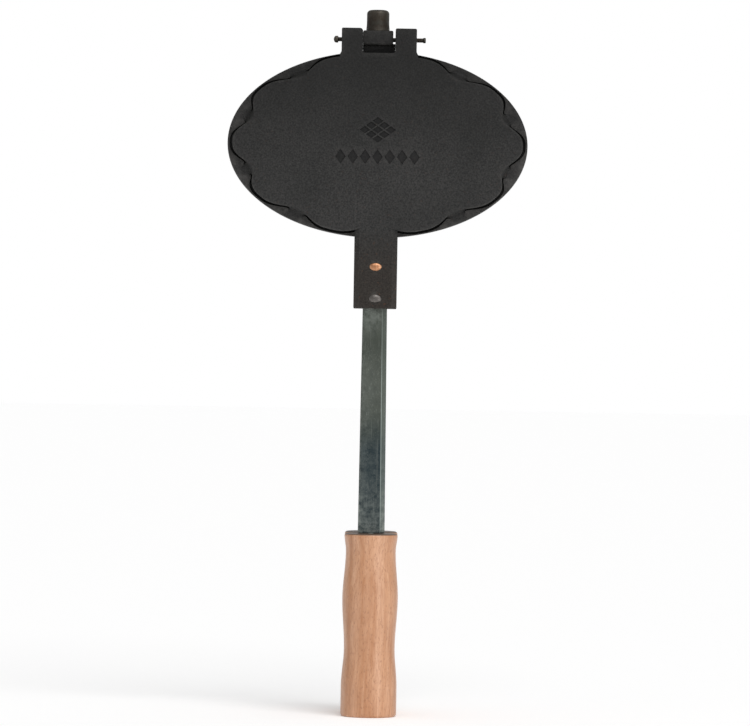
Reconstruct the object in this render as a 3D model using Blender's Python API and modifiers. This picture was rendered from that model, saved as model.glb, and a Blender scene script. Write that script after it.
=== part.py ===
"""Campfire iron for waffle cones: two cast plates on one hinge, each with a bar and a wooden grip.

Metres, +Z up. The iron stands closed on the feet of its two grips, with the hinge at the top.
X runs across the plates, Y through them, and the plates part at y = 0. The front half is the one
with the two hinge ears, on the -Y side. What the two halves have alike is modelled for the front
and turned half a turn about Z for the rear.
"""
import math

import bmesh
import bpy
from mathutils import Matrix, Vector

# Clearances
GAP = 0.0003              # between two pieces that touch
PIN_CLEARANCE = 0.0001    # radial, hinge pin in its holes
BOLT_CLEARANCE = 0.0003   # radial, rivets and tangs in their holes
FLUSH_STEP = 0.00005      # a block that looks flush with a face stays this far under it

# Cast plates
PLATE_WIDTH = 0.2000
PLATE_HEIGHT = 0.1244
HALF_DEPTH = 0.0120       # one casting, parting face to panel face
FLANGE_DEPTH = 0.0050     # the outer ring
FLANGE_DRAFT = 0.0008     # how far the ring leans in towards its face
LOBES = 10
RIM_SIDE, RIM_END = 0.0036, 0.0023            # ring left outside the lobes, at the sides and ends
SCALLOP_SIDE, SCALLOP_END = 0.0086, 0.0054    # how far the valleys cut in
WALL_DRAFT = 0.0011       # foot of the panel's wall outside its top, at the lobes
RAMP = 0.0040             # the same in the valleys, where the wall is a soft ramp
SCALLOP_SHARPNESS = 3     # 2 is a plain wave, more gives broader lobes
POINTS_PER_LOBE = 10

# Baking recess, in each plate
RECESS_DEPTH = 0.0019
RECESS_RIM = 0.0060       # land left outside the recess, at its lobes
RIB_WIDTH = 0.0013
RIB_PITCH = 0.0150
RIB_DROP = 0.0007         # rib tops below the parting face
RIB_ANGLES = (math.radians(45.0), math.radians(-45.0))
RECESS_STEP = 0.0008      # ledge between the recess wall and the outermost cells
SMALLEST_CELL = 0.000004  # square metres; smaller corners of the grid stay solid

# Hinge
HINGE_RISE = 0.0077       # axis above the top of the plates
SLOT_WIDTH = 0.0216       # between the ears
SLOT_CORNER = 0.0020
EAR_WIDTH = 0.01415
EAR_CLEARANCE = 0.0007    # under the ears' round backs, above the rear plate
EAR_CORNER = 0.0012
HINGE_ROOT = 0.0120       # how far the hinge's roots run down into the plates
KNUCKLE_FRONT = 0.0072    # in front of the parting plane
KNUCKLE_DROP, KNUCKLE_RISE = 0.0042, 0.0058    # below and above the axis
KNUCKLE_GAP_LEFT, KNUCKLE_GAP_RIGHT = 0.0003, 0.0015
KNUCKLE_CORNER = 0.0015
SWING_CLEARANCE = 0.00025    # between the knuckle's corners and the slot's floor as it swings
NECK_GAP = 0.0018         # between the neck and each ear
PIN_RADIUS = 0.0014
PIN_HEAD_STEP = 0.0009    # the head's radius over the pin's
PIN_HEAD_LENGTH = 0.0030
PIN_END_STEP = 0.0004     # the peened end's radius over the pin's
PIN_END_LENGTH = 0.0016
PIN_PLAY_LEFT = 0.0024    # head to ear, at rest
PIN_PLAY_RIGHT = 0.0045   # ear to peened end, at rest

# Stud on top of the knuckle
STUD_RADIUS = 0.0078
STUD_HEIGHT = 0.0138
STUD_CENTRE_X, STUD_CENTRE_Y = -0.0010, 0.0030
STUD_EDGE = 0.0025
SPIGOT_RADIUS = 0.0040
SPIGOT_LENGTH = 0.0028

# Lug of each plate, an open channel for the bar
LUG_LENGTH = 0.0471       # below the plate
LUG_SIDE_WALL = 0.00595
LUG_BACK = 0.0010         # lug's open side to the parting plane
LUG_WALL = 0.0028         # front wall
LUG_CHAMFER = 0.0032
LUG_CHAMFER_DEPTH = 0.0020
LUG_ROOT = 0.0110         # how far the lug runs up into the panel
CHANNEL_END = 0.0006      # metal left between the channel and the plate's edge

# Bars
BAR_THICKNESS = 0.0050
BAR_TOP_WIDTH = 0.0162
BAR_FOOT_WIDTH = 0.0178
BAR_REACH = 0.1490        # grip to lug
BAR_EDGE = 0.0010
BEND_TOP = 0.0200         # below the lug
BEND_LENGTH = 0.0600
TANG_RADIUS = 0.0030

# Rivets: one of copper above one of steel, in each half
RIVET_RADIUS = 0.0021
RIVET_HEAD_WIDTH = 0.0083
RIVET_HEAD_HEIGHT = 0.0054
RIVET_HEAD_RISE = 0.0013
UPPER_RIVET_ABOVE_LUG_FOOT = 0.0276
LOWER_RIVET_ABOVE_LUG_FOOT = 0.0066

# Grips
GRIP_LENGTH = 0.1210
GRIP_GAP = 0.0036         # between the two grips, at their widest
GRIP_TOP_RADIUS = 0.0177
GRIP_NECK_RADIUS = 0.0165
GRIP_BELLY_RADIUS = 0.0184
GRIP_WAIST_RADIUS = 0.0168
GRIP_FOOT_RADIUS = 0.0185
GRIP_EDGE = 0.0030
WASHER_RADIUS = 0.0080
WASHER_THICKNESS = 0.0012
WASHER_ROOM = 0.0015      # around the washer, for a socket spanner
NUT_ACROSS_FLATS = 0.0100
NUT_THICKNESS = 0.0050
TANG_PAST_NUT = 0.0012
TANG_RECESS = 0.0040      # the tang's end above the floor

# Heights, worked out upwards from the floor
TANG_FOOT_Z = TANG_RECESS
NUT_FOOT_Z = TANG_FOOT_Z + TANG_PAST_NUT
NUT_TOP_Z = NUT_FOOT_Z + NUT_THICKNESS
WASHER_FOOT_Z = NUT_TOP_Z + GAP
WASHER_TOP_Z = WASHER_FOOT_Z + WASHER_THICKNESS
COUNTERBORE_DEPTH = WASHER_TOP_Z + GAP
LUG_FOOT_Z = GRIP_LENGTH + BAR_REACH
BEND_TOP_Z = LUG_FOOT_Z - BEND_TOP
PLATE_FOOT_Z = LUG_FOOT_Z + LUG_LENGTH
CHANNEL_TOP_Z = PLATE_FOOT_Z - CHANNEL_END
PLATE_Z = PLATE_FOOT_Z + PLATE_HEIGHT / 2
PLATE_TOP_Z = PLATE_FOOT_Z + PLATE_HEIGHT
HINGE_Z = PLATE_TOP_Z + HINGE_RISE
KNUCKLE_TOP_Z = HINGE_Z + KNUCKLE_RISE

# Depths and widths that neighbours share
FACE = GAP / 2                                  # each parting face from y = 0
BAR_FACE_Y = -HALF_DEPTH + LUG_WALL + GAP       # bar's face against the lug's wall
BAR_Y = BAR_FACE_Y + BAR_THICKNESS / 2
GRIP_Y = -max(GRIP_FOOT_RADIUS, GRIP_BELLY_RADIUS, GRIP_TOP_RADIUS) - GRIP_GAP / 2
CHANNEL_WIDTH = BAR_TOP_WIDTH + 2 * GAP
LUG_WIDTH = CHANNEL_WIDTH + 2 * LUG_SIDE_WALL
COUNTERBORE_RADIUS = WASHER_RADIUS + WASHER_ROOM
EARS_WIDTH = SLOT_WIDTH + 2 * EAR_WIDTH
EAR_RADIUS = HINGE_RISE - EAR_CLEARANCE
KNUCKLE_LEFT = -SLOT_WIDTH / 2 + KNUCKLE_GAP_LEFT
KNUCKLE_RIGHT = SLOT_WIDTH / 2 - KNUCKLE_GAP_RIGHT
NECK_WIDTH = SLOT_WIDTH - 2 * NECK_GAP
SLOT_FLOOR = math.hypot(KNUCKLE_FRONT, KNUCKLE_RISE) + SWING_CLEARANCE    # below the axis

HALF_TURN = Matrix.Rotation(math.pi, 4, "Z")
LYING = Matrix.Rotation(math.pi / 2, 4, "X")    # outline's x, y to world X, Z
SIDEWAYS = Matrix(((0, 0, 1, 0), (1, 0, 0, 0), (0, 1, 0, 0), (0, 0, 0, 1)))    # to world Y, Z


# ---------------------------------------------------------------- scene and materials

def clear_scene():
    """Remove whatever the scene holds."""
    for item in list(bpy.data.objects):
        bpy.data.objects.remove(item, do_unlink=True)


def new_collection(name):
    """Make a collection in the scene."""
    collection = bpy.data.collections.new(name)
    bpy.context.scene.collection.children.link(collection)
    return collection


def new_material(name, colour, roughness, metallic):
    """Make a Principled BSDF material of one colour."""
    material = bpy.data.materials.new(name)
    material.use_nodes = True
    shader = material.node_tree.nodes["Principled BSDF"]
    shader.inputs["Base Color"].default_value = (*colour, 1.0)
    shader.inputs["Roughness"].default_value = roughness
    shader.inputs["Metallic"].default_value = metallic
    material.diffuse_color = (*colour, 1.0)
    return material


clear_scene()
PARTS = new_collection("waffle_cone_iron")
TOOLS = new_collection("cutters_and_joined_shapes")


def link(item, collection):
    """Put an object in a collection."""
    collection.objects.link(item)
    return item


def finish(item, material):
    """Make an object a sub-part: own material, round faces shaded smooth."""
    item.data.materials.append(material)
    item.data.shade_smooth()
    item.data.set_sharp_from_angle(angle=math.radians(35))
    return item


# ---------------------------------------------------------------- shapes

def mesh_object(name, shape, collection):
    """Turn a bmesh into an object."""
    mesh = bpy.data.meshes.new(name)
    bmesh.ops.recalc_face_normals(shape, faces=shape.faces)
    shape.to_mesh(mesh)
    shape.free()
    return link(bpy.data.objects.new(name, mesh), collection)


def box(name, low, high, collection):
    """A box between two corners."""
    shape = bmesh.new()
    bmesh.ops.create_cube(shape, size=1.0)
    low, high = Vector(low), Vector(high)
    for vertex in shape.verts:
        vertex.co = (low + high) / 2 + vertex.co * (high - low)
    return mesh_object(name, shape, collection)


def cylinder(name, radius, start, end, collection, segments=32):
    """A round bar between two points."""
    start, end = Vector(start), Vector(end)
    shape = bmesh.new()
    bmesh.ops.create_cone(shape, cap_ends=True, segments=segments, radius1=radius, radius2=radius,
                          depth=(end - start).length)
    turn = (end - start).to_track_quat("Z", "Y").to_matrix().to_4x4()
    bmesh.ops.transform(shape, matrix=Matrix.Translation((start + end) / 2) @ turn, verts=shape.verts)
    return mesh_object(name, shape, collection)


def outline_solid(name, outline, low, high, placing, collection):
    """Extrude a flat outline from low to high along the placing's own z."""
    curve = bpy.data.curves.new(name, "CURVE")
    curve.dimensions = "2D"
    curve.fill_mode = "BOTH"
    curve.extrude = (high - low) / 2
    spline = curve.splines.new("POLY")
    spline.points.add(len(outline) - 1)
    for point, (x, y) in zip(spline.points, outline):
        point.co = (x, y, 0.0, 1.0)
    spline.use_cyclic_u = True
    guide = link(bpy.data.objects.new(name + "_outline", curve), TOOLS)
    guide.matrix_world = placing @ Matrix.Translation((0, 0, (low + high) / 2))
    bpy.context.view_layer.update()
    evaluated = guide.evaluated_get(bpy.context.evaluated_depsgraph_get())
    mesh = bpy.data.meshes.new_from_object(evaluated)
    shape = bmesh.new()
    shape.from_mesh(mesh)
    bmesh.ops.remove_doubles(shape, verts=shape.verts, dist=1e-6)
    bmesh.ops.transform(shape, matrix=guide.matrix_world, verts=shape.verts)
    bpy.data.objects.remove(guide, do_unlink=True)
    bpy.data.curves.remove(curve)
    bpy.data.meshes.remove(mesh)
    return mesh_object(name, shape, collection)


def turned(name, profile, closed, place, collection, steps=32):
    """Turn a profile of (radius, height) points about Z with a Screw modifier."""
    mesh = bpy.data.meshes.new(name)
    count = len(profile)
    edges = [(i, (i + 1) % count) for i in range(count if closed else count - 1)]
    mesh.from_pydata([(radius, 0.0, height) for radius, height in profile], edges, [])
    item = link(bpy.data.objects.new(name, mesh), collection)
    item.location = place
    screw = item.modifiers.new("turning", "SCREW")
    screw.steps = screw.render_steps = steps
    screw.use_merge_vertices = True
    screw.merge_threshold = 0.00001
    return item


def evaluated_copy(guide, name):
    """Keep the evaluated mesh of a guide as a sub-part and remove the guide."""
    bpy.context.view_layer.update()
    evaluated = guide.evaluated_get(bpy.context.evaluated_depsgraph_get())
    mesh = bpy.data.meshes.new_from_object(evaluated)
    mesh.transform(guide.matrix_world)
    bpy.data.objects.remove(guide, do_unlink=True)
    mesh.name = name
    return link(bpy.data.objects.new(name, mesh), PARTS)


def arc(centre, radius, start, end, count):
    """Points on an arc, angles in degrees."""
    angles = [math.radians(start + (end - start) * i / count) for i in range(count + 1)]
    return [(centre[0] + radius * math.cos(a), centre[1] + radius * math.sin(a)) for a in angles]


def boolean(target, other, operation):
    """Join another shape to an object, or cut it away; the other shape stays as a hidden tool."""
    modifier = target.modifiers.new(other.name, "BOOLEAN")
    modifier.operation = operation
    modifier.object = other
    other.hide_render = True
    other.display_type = "WIRE"


def bevel(item, width, segments=2, angle=40.0):
    """Round the edges that are sharper than the angle."""
    modifier = item.modifiers.new("edges", "BEVEL")
    modifier.width = width
    modifier.segments = segments
    modifier.limit_method = "ANGLE"
    modifier.angle_limit = math.radians(angle)


def bake_in(item, placing):
    """Place a mesh's points in the world and leave its object at the origin."""
    item.data.transform(placing)
    item.data.update()


def hang_on(pivot_name, place, items):
    """Parent the pieces that turn together to an empty on their joint's axis."""
    pivot = link(bpy.data.objects.new(pivot_name, None), PARTS)
    pivot.location = place
    bpy.context.view_layer.update()
    for item in items:
        item.parent = pivot
        item.matrix_parent_inverse = pivot.matrix_world.inverted()


# ---------------------------------------------------------------- castings

def scallop(angle, lobe, valley):
    """A point on a lobed outline between the half-widths and half-heights of its two ovals."""
    wave = abs(math.sin(LOBES / 2 * angle)) ** SCALLOP_SHARPNESS
    half_width = lobe[0] + (valley[0] - lobe[0]) * wave
    half_height = lobe[1] + (valley[1] - lobe[1]) * wave
    return half_width * math.cos(angle), PLATE_Z + half_height * math.sin(angle)


def scallop_outline(inset, ramp=0.0):
    """The lobed outline, moved in from the panel's lobes by inset and out in the valleys by ramp."""
    lobe = (PLATE_WIDTH / 2 - RIM_SIDE - inset, PLATE_HEIGHT / 2 - RIM_END - inset)
    valley = (lobe[0] - SCALLOP_SIDE + ramp, lobe[1] - SCALLOP_END + ramp)
    count = LOBES * POINTS_PER_LOBE
    return [scallop(math.tau * i / count, lobe, valley) for i in range(count)]


def flange(name):
    """The flat outer ring of a plate, an oval disc that leans in towards its face."""
    shape = bmesh.new()
    bmesh.ops.create_cone(shape, cap_ends=True, segments=LOBES * POINTS_PER_LOBE, radius1=1.0,
                          radius2=1.0, depth=1.0)
    for vertex in shape.verts:
        outside = vertex.co.z > 0
        lean = FLANGE_DRAFT if outside else 0.0
        x = vertex.co.x * (PLATE_WIDTH / 2 - lean)
        z = vertex.co.y * (PLATE_HEIGHT / 2 - lean)
        vertex.co = (x, -FLANGE_DEPTH if outside else -FACE, PLATE_Z + z)
    return mesh_object(name, shape, PARTS)


def panel(name):
    """The raised panel, a loft from the outline at its foot to the deeper one at its face."""
    foot = scallop_outline(-WALL_DRAFT, RAMP - WALL_DRAFT)
    top = scallop_outline(0.0)
    sunk = -FLANGE_DEPTH / 2
    shape = bmesh.new()
    rings = [[shape.verts.new((x, y, z)) for x, z in ring]
             for ring, y in ((foot, sunk), (foot, -FLANGE_DEPTH), (top, -HALF_DEPTH))]
    for lower, upper in zip(rings, rings[1:]):
        for i in range(len(lower)):
            j = (i + 1) % len(lower)
            shape.faces.new((lower[i], lower[j], upper[j], upper[i]))
    shape.faces.new(rings[0])
    shape.faces.new(rings[-1])
    return mesh_object(name, shape, TOOLS)


def lug(name):
    """The block below the plate that holds the bar, with its two front corners chamfered."""
    half = LUG_WIDTH / 2
    face = -HALF_DEPTH + FLUSH_STEP
    shoulder = face + LUG_CHAMFER_DEPTH
    outline = [(-half, -LUG_BACK), (-half, shoulder), (-half + LUG_CHAMFER, face),
               (half - LUG_CHAMFER, face), (half, shoulder), (half, -LUG_BACK)]
    return outline_solid(name, outline, LUG_FOOT_Z, PLATE_FOOT_Z + LUG_ROOT, Matrix(), TOOLS)


def channel(name):
    """The space for the bar, open behind the lug and at its foot."""
    low = (-CHANNEL_WIDTH / 2, -HALF_DEPTH + LUG_WALL, LUG_FOOT_Z - LUG_LENGTH)
    high = (CHANNEL_WIDTH / 2, HALF_DEPTH, CHANNEL_TOP_Z)
    return box(name, low, high, TOOLS)


def rivet_heights():
    """Heights of the two rivets of a half, upper first."""
    return LUG_FOOT_Z + UPPER_RIVET_ABOVE_LUG_FOOT, LUG_FOOT_Z + LOWER_RIVET_ABOVE_LUG_FOOT


def grid_place(x, z, angle):
    """Distance across the ribs of one direction, from the nearest rib's middle."""
    across = (z - PLATE_Z) * math.cos(angle) - x * math.sin(angle)
    return abs(across - RIB_PITCH * round(across / RIB_PITCH))


def recess(name):
    """The baking recess as a cutter: a shallow lobed basin with the grid's cells sunk into it."""
    mouth, ledge = scallop_outline(RECESS_RIM), scallop_outline(RECESS_RIM + RECESS_STEP)
    shape = bmesh.new()
    rings = [[shape.verts.new((x, y, z)) for x, z in ring]
             for ring, y in ((mouth, HALF_DEPTH), (mouth, -RIB_DROP), (ledge, -RIB_DROP))]
    for lower, upper in zip(rings, rings[1:]):
        for i in range(len(lower)):
            j = (i + 1) % len(lower)
            shape.faces.new((lower[i], lower[j], upper[j], upper[i]))
    shape.faces.new(rings[0])
    cells = [shape.faces.new(rings[-1])]
    count = math.ceil(PLATE_WIDTH / RIB_PITCH)
    for angle in RIB_ANGLES:
        normal = Vector((-math.sin(angle), 0.0, math.cos(angle)))
        for side in (i * RIB_PITCH + edge * RIB_WIDTH / 2 for i in range(-count, count + 1)
                     for edge in (-1, 1)):
            around = {part for face in cells for part in (*face.verts, *face.edges, face)}
            cut = bmesh.ops.bisect_plane(shape, geom=list(around), dist=1e-6, plane_no=normal,
                                         plane_co=Vector((0, -RIB_DROP, PLATE_Z)) + normal * side)
            cells = [part for part in cut["geom"] if isinstance(part, bmesh.types.BMFace)]
    sunk = []
    for face in cells:
        middle = face.calc_center_median()
        clear = min(grid_place(middle.x, middle.z, angle) for angle in RIB_ANGLES)
        if clear > RIB_WIDTH / 2 and face.calc_area() > SMALLEST_CELL:
            sunk.append(face)
    floors = bmesh.ops.extrude_discrete_faces(shape, faces=sunk)["faces"]
    for vertex in {vertex for face in floors for vertex in face.verts}:
        vertex.co.y = -RECESS_DEPTH
    return mesh_object(name, shape, TOOLS)


def half_casting(name, front):
    """What both plates have alike: ring, panel, lug, channel, rivet holes and recess."""
    casting = flange(name)
    pieces = [(panel(name + "_panel"), "UNION"), (lug(name + "_lug"), "UNION")]
    pieces.append((channel(name + "_channel"), "DIFFERENCE"))
    pieces.append((recess(name + "_recess"), "DIFFERENCE"))
    for place, height in zip(("upper", "lower"), rivet_heights()):
        hole = cylinder(f"{name}_{place}_rivet_hole", RIVET_RADIUS + BOLT_CLEARANCE,
                        (0, -2 * HALF_DEPTH, height), (0, 0, height), TOOLS, 24)
        pieces.append((hole, "DIFFERENCE"))
    if not front:
        bake_in(casting, HALF_TURN)
    for piece, operation in pieces:
        if not front:
            bake_in(piece, HALF_TURN)
        boolean(casting, piece, operation)
    return casting


def pin_hole(name):
    """The hinge pin's hole."""
    return cylinder(name, PIN_RADIUS + PIN_CLEARANCE, (-EARS_WIDTH, 0, HINGE_Z),
                    (EARS_WIDTH, 0, HINGE_Z), TOOLS, 24)


def front_plate(material):
    """The front casting, with the two ears of the hinge and the slot between them."""
    casting = half_casting("front_plate", True)
    root_z = PLATE_TOP_Z - HINGE_ROOT
    face, back = -HALF_DEPTH + FLUSH_STEP, -FACE - FLUSH_STEP
    side = [(face, root_z)]
    side += arc((face + EAR_CORNER, HINGE_Z + EAR_RADIUS - EAR_CORNER), EAR_CORNER, 180, 90, 3)
    side += arc((0, HINGE_Z), EAR_RADIUS, 90, -90, 16)
    side += [(back, HINGE_Z - EAR_RADIUS), (back, root_z)]
    ears = outline_solid("ears", side, -EARS_WIDTH / 2, EARS_WIDTH / 2, SIDEWAYS, TOOLS)
    boolean(casting, ears, "UNION")
    half = SLOT_WIDTH / 2
    floor_z = HINGE_Z - SLOT_FLOOR
    slot = arc((-half + SLOT_CORNER, floor_z + SLOT_CORNER), SLOT_CORNER, 180, 270, 4)
    slot += arc((half - SLOT_CORNER, floor_z + SLOT_CORNER), SLOT_CORNER, 270, 360, 4)
    slot += [(half, HINGE_Z + 2 * EAR_RADIUS), (-half, HINGE_Z + 2 * EAR_RADIUS)]
    boolean(casting, outline_solid("slot", slot, -2 * HALF_DEPTH, 2 * HALF_DEPTH, LYING, TOOLS),
            "DIFFERENCE")
    boolean(casting, pin_hole("ear_pin_hole"), "DIFFERENCE")
    return finish(casting, material)


def rear_plate(material):
    """The rear casting, with the neck and the knuckle that stands between the ears."""
    casting = half_casting("rear_plate", False)
    neck = box("neck", (-NECK_WIDTH / 2, FACE + FLUSH_STEP, PLATE_TOP_Z - HINGE_ROOT),
               (NECK_WIDTH / 2, HALF_DEPTH - FLUSH_STEP, HINGE_Z), TOOLS)
    boolean(casting, neck, "UNION")
    knuckle = box("knuckle", (KNUCKLE_LEFT, -KNUCKLE_FRONT, HINGE_Z - KNUCKLE_DROP),
                  (KNUCKLE_RIGHT, HALF_DEPTH, KNUCKLE_TOP_Z), TOOLS)
    bevel(knuckle, KNUCKLE_CORNER)
    boolean(casting, knuckle, "UNION")
    boolean(casting, pin_hole("knuckle_pin_hole"), "DIFFERENCE")
    foot = KNUCKLE_TOP_Z - SPIGOT_LENGTH - GAP
    socket = cylinder("spigot_hole", SPIGOT_RADIUS + BOLT_CLEARANCE,
                      (STUD_CENTRE_X, STUD_CENTRE_Y, foot),
                      (STUD_CENTRE_X, STUD_CENTRE_Y, KNUCKLE_TOP_Z + STUD_HEIGHT), TOOLS, 24)
    boolean(casting, socket, "DIFFERENCE")
    return finish(casting, material)


# ---------------------------------------------------------------- hinge pin and stud

def end_stud(material):
    """The round stud on the knuckle, with a spigot below it."""
    foot = GAP
    profile = arc((STUD_RADIUS - STUD_EDGE, foot + STUD_HEIGHT - STUD_EDGE), STUD_EDGE, 90, 0, 4)
    profile = [(0.0, foot + STUD_HEIGHT)] + profile
    profile += [(STUD_RADIUS, foot), (SPIGOT_RADIUS, foot), (SPIGOT_RADIUS, -SPIGOT_LENGTH),
                (0.0, -SPIGOT_LENGTH)]
    stud = turned("end_stud", profile, False, (STUD_CENTRE_X, STUD_CENTRE_Y, KNUCKLE_TOP_Z), PARTS)
    return finish(stud, material)


def hinge_pin(material):
    """The loose pin, with a domed head at its left and a peened end at its right."""
    head = -EARS_WIDTH / 2 - PIN_PLAY_LEFT
    peen = EARS_WIDTH / 2 + PIN_PLAY_RIGHT
    dome = PIN_HEAD_LENGTH / 2
    end_radius, head_radius = PIN_RADIUS + PIN_END_STEP, PIN_RADIUS + PIN_HEAD_STEP
    profile = [(0.0, peen + PIN_END_LENGTH), (end_radius, peen + PIN_END_LENGTH), (end_radius, peen),
               (PIN_RADIUS, peen), (PIN_RADIUS, head), (head_radius, head), (head_radius, head - dome)]
    for step in (1, 2):
        angle = math.radians(30 * step)
        profile.append((head_radius * math.cos(angle), head - dome - dome * math.sin(angle)))
    profile.append((0.0, head - 2 * dome))
    pin = turned("hinge_pin", profile, False, (0.0, 0.0, HINGE_Z), PARTS, 24)
    pin.rotation_euler = (0.0, math.pi / 2, 0.0)
    return finish(pin, material)


# ---------------------------------------------------------------- bars, rivets and grips

def ease(share):
    """Smooth step from 0 to 1."""
    return share * share * (3 - 2 * share)


def bar_centre(height):
    """The bar's y at a height: straight in the lug, bent out to the grip's axis below it."""
    share = min(max((BEND_TOP_Z - height) / BEND_LENGTH, 0.0), 1.0)
    return BAR_Y + (GRIP_Y - BAR_Y) * ease(share)


def bar(side, front, material):
    """A flat bar with its S-bend, two rivet holes and a round tang for the grip."""
    top, foot = CHANNEL_TOP_Z - GAP, GRIP_LENGTH + GAP
    bends = 12    # straight steps in the S-bend
    heights = [top] + [BEND_TOP_Z - BEND_LENGTH * i / bends for i in range(bends + 1)] + [foot]
    half = BAR_THICKNESS / 2
    middle = []
    for height in heights:
        slope = (bar_centre(height + GAP) - bar_centre(height - GAP)) / (2 * GAP)
        across = Vector((1.0, -slope)).normalized() * half
        middle.append((Vector((bar_centre(height), height)), across))
    outline = [tuple(point + across) for point, across in middle]
    outline += [tuple(point - across) for point, across in reversed(middle)]
    item = outline_solid(f"{side}_bar", outline, -0.5, 0.5, SIDEWAYS, PARTS)
    for vertex in item.data.vertices:
        share = min(max((LUG_FOOT_Z - vertex.co.z) / BAR_REACH, 0.0), 1.0)
        vertex.co.x *= BAR_TOP_WIDTH + (BAR_FOOT_WIDTH - BAR_TOP_WIDTH) * share
    tang = cylinder(f"{side}_tang", TANG_RADIUS, (0, GRIP_Y, TANG_FOOT_Z),
                    (0, GRIP_Y, GRIP_LENGTH + BAR_THICKNESS), TOOLS, 24)
    tools = [(tang, "UNION")]
    for place, height in zip(("upper", "lower"), rivet_heights()):
        hole = cylinder(f"{side}_bar_{place}_hole", RIVET_RADIUS + BOLT_CLEARANCE,
                        (0, -2 * HALF_DEPTH, height), (0, 0, height), TOOLS, 24)
        tools.append((hole, "DIFFERENCE"))
    bevel(item, BAR_EDGE)
    for tool, operation in tools:
        if not front:
            bake_in(tool, HALF_TURN)
        boolean(item, tool, operation)
    if not front:
        bake_in(item, HALF_TURN)
    return finish(item, material)


def rivet(side, place, height, front, material):
    """A rivet with an oval domed head on the lug and a bucked head behind the bar."""
    head_radius = RIVET_HEAD_WIDTH / 2
    lug_face = HALF_DEPTH + GAP
    bar_back = -(BAR_FACE_Y + BAR_THICKNESS) - GAP
    steps = 4
    dome = [(head_radius * math.sin(math.pi / 2 * i / steps),
             RIVET_HEAD_RISE * math.cos(math.pi / 2 * i / steps)) for i in range(steps + 1)]
    profile = [(radius, lug_face + rise) for radius, rise in dome]
    profile += [(RIVET_RADIUS, lug_face), (RIVET_RADIUS, bar_back)]
    profile += [(radius, bar_back - rise) for radius, rise in reversed(dome)]
    name = f"{side}_{place}_rivet"
    item = evaluated_copy(turned(name + "_round", profile, False, (0, 0, 0), TOOLS, 16), name)
    squeeze = RIVET_HEAD_HEIGHT / RIVET_HEAD_WIDTH
    for vertex in item.data.vertices:
        on_shank = bar_back - GAP < vertex.co.z < lug_face + GAP
        if not (on_shank and vertex.co.xy.length < RIVET_RADIUS + GAP):
            vertex.co.y *= squeeze
    bake_in(item, Matrix.Translation((0, 0, height)) @ LYING)
    if not front:
        bake_in(item, HALF_TURN)
    return finish(item, material)


def grip_radius(height):
    """Outer radius of a grip at a height above its foot."""
    stations = [(0.0, GRIP_FOOT_RADIUS), (0.16, GRIP_FOOT_RADIUS), (0.37, GRIP_WAIST_RADIUS),
                (0.645, GRIP_BELLY_RADIUS), (0.9, GRIP_NECK_RADIUS), (1.0, GRIP_TOP_RADIUS)]
    share = height / GRIP_LENGTH
    for (low, start), (high, end) in zip(stations, stations[1:]):
        if share <= high:
            return start + (end - start) * ease((share - low) / (high - low))
    return stations[-1][1]


def grip(side, front, material):
    """A turned wooden grip with a bore for the tang and a counterbore in its foot."""
    bore = TANG_RADIUS + BOLT_CLEARANCE
    steps = 13
    low, high = GRIP_EDGE, GRIP_LENGTH - GRIP_EDGE
    profile = [(bore, GRIP_LENGTH)]
    profile += arc((GRIP_TOP_RADIUS - GRIP_EDGE, high), GRIP_EDGE, 90, 0, 3)
    for i in range(1, steps):
        height = high + (low - high) * i / steps
        profile.append((grip_radius(height), height))
    profile += arc((GRIP_FOOT_RADIUS - GRIP_EDGE, low), GRIP_EDGE, 0, -90, 3)
    profile += [(COUNTERBORE_RADIUS, 0.0), (COUNTERBORE_RADIUS, COUNTERBORE_DEPTH),
                (bore, COUNTERBORE_DEPTH)]
    place = (0.0, GRIP_Y if front else -GRIP_Y, 0.0)
    return finish(turned(f"{side}_grip", profile, True, place, PARTS, 28), material)


def washer(side, front, material):
    """The washer against the counterbore's floor."""
    bore = TANG_RADIUS + BOLT_CLEARANCE
    profile = [(bore, WASHER_TOP_Z), (WASHER_RADIUS, WASHER_TOP_Z), (WASHER_RADIUS, WASHER_FOOT_Z),
               (bore, WASHER_FOOT_Z)]
    place = (0.0, GRIP_Y if front else -GRIP_Y, 0.0)
    return finish(turned(f"{side}_grip_washer", profile, True, place, PARTS), material)


def nut(side, front, material):
    """The hexagon nut on the tang."""
    y = GRIP_Y if front else -GRIP_Y
    corner_radius = NUT_ACROSS_FLATS / 2 / math.cos(math.pi / 6)
    item = cylinder(f"{side}_grip_nut", corner_radius, (0, y, NUT_FOOT_Z), (0, y, NUT_TOP_Z), PARTS, 6)
    hole = cylinder(f"{side}_nut_hole", TANG_RADIUS + BOLT_CLEARANCE, (0, y, NUT_FOOT_Z - NUT_THICKNESS),
                    (0, y, NUT_TOP_Z + NUT_THICKNESS), TOOLS, 24)
    boolean(item, hole, "DIFFERENCE")
    return finish(item, material)


# ---------------------------------------------------------------- the iron

def make_half(side, front, plate):
    """Model one half's bar, rivets and grip, and give them with its plate."""
    upper, lower = rivet_heights()
    return [
        plate,
        bar(side, front, new_material(f"{side}_bar", (0.10, 0.12, 0.12), 0.5, 0.7)),
        rivet(side, "upper", upper, front,
              new_material(f"{side}_upper_rivet", (0.72, 0.42, 0.25), 0.4, 1.0)),
        rivet(side, "lower", lower, front,
              new_material(f"{side}_lower_rivet", (0.30, 0.29, 0.28), 0.4, 1.0)),
        grip(side, front, new_material(f"{side}_grip", (0.60, 0.36, 0.22), 0.5, 0.0)),
        washer(side, front, new_material(f"{side}_grip_washer", (0.55, 0.55, 0.55), 0.35, 1.0)),
        nut(side, front, new_material(f"{side}_grip_nut", (0.50, 0.50, 0.50), 0.35, 1.0)),
    ]


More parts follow.
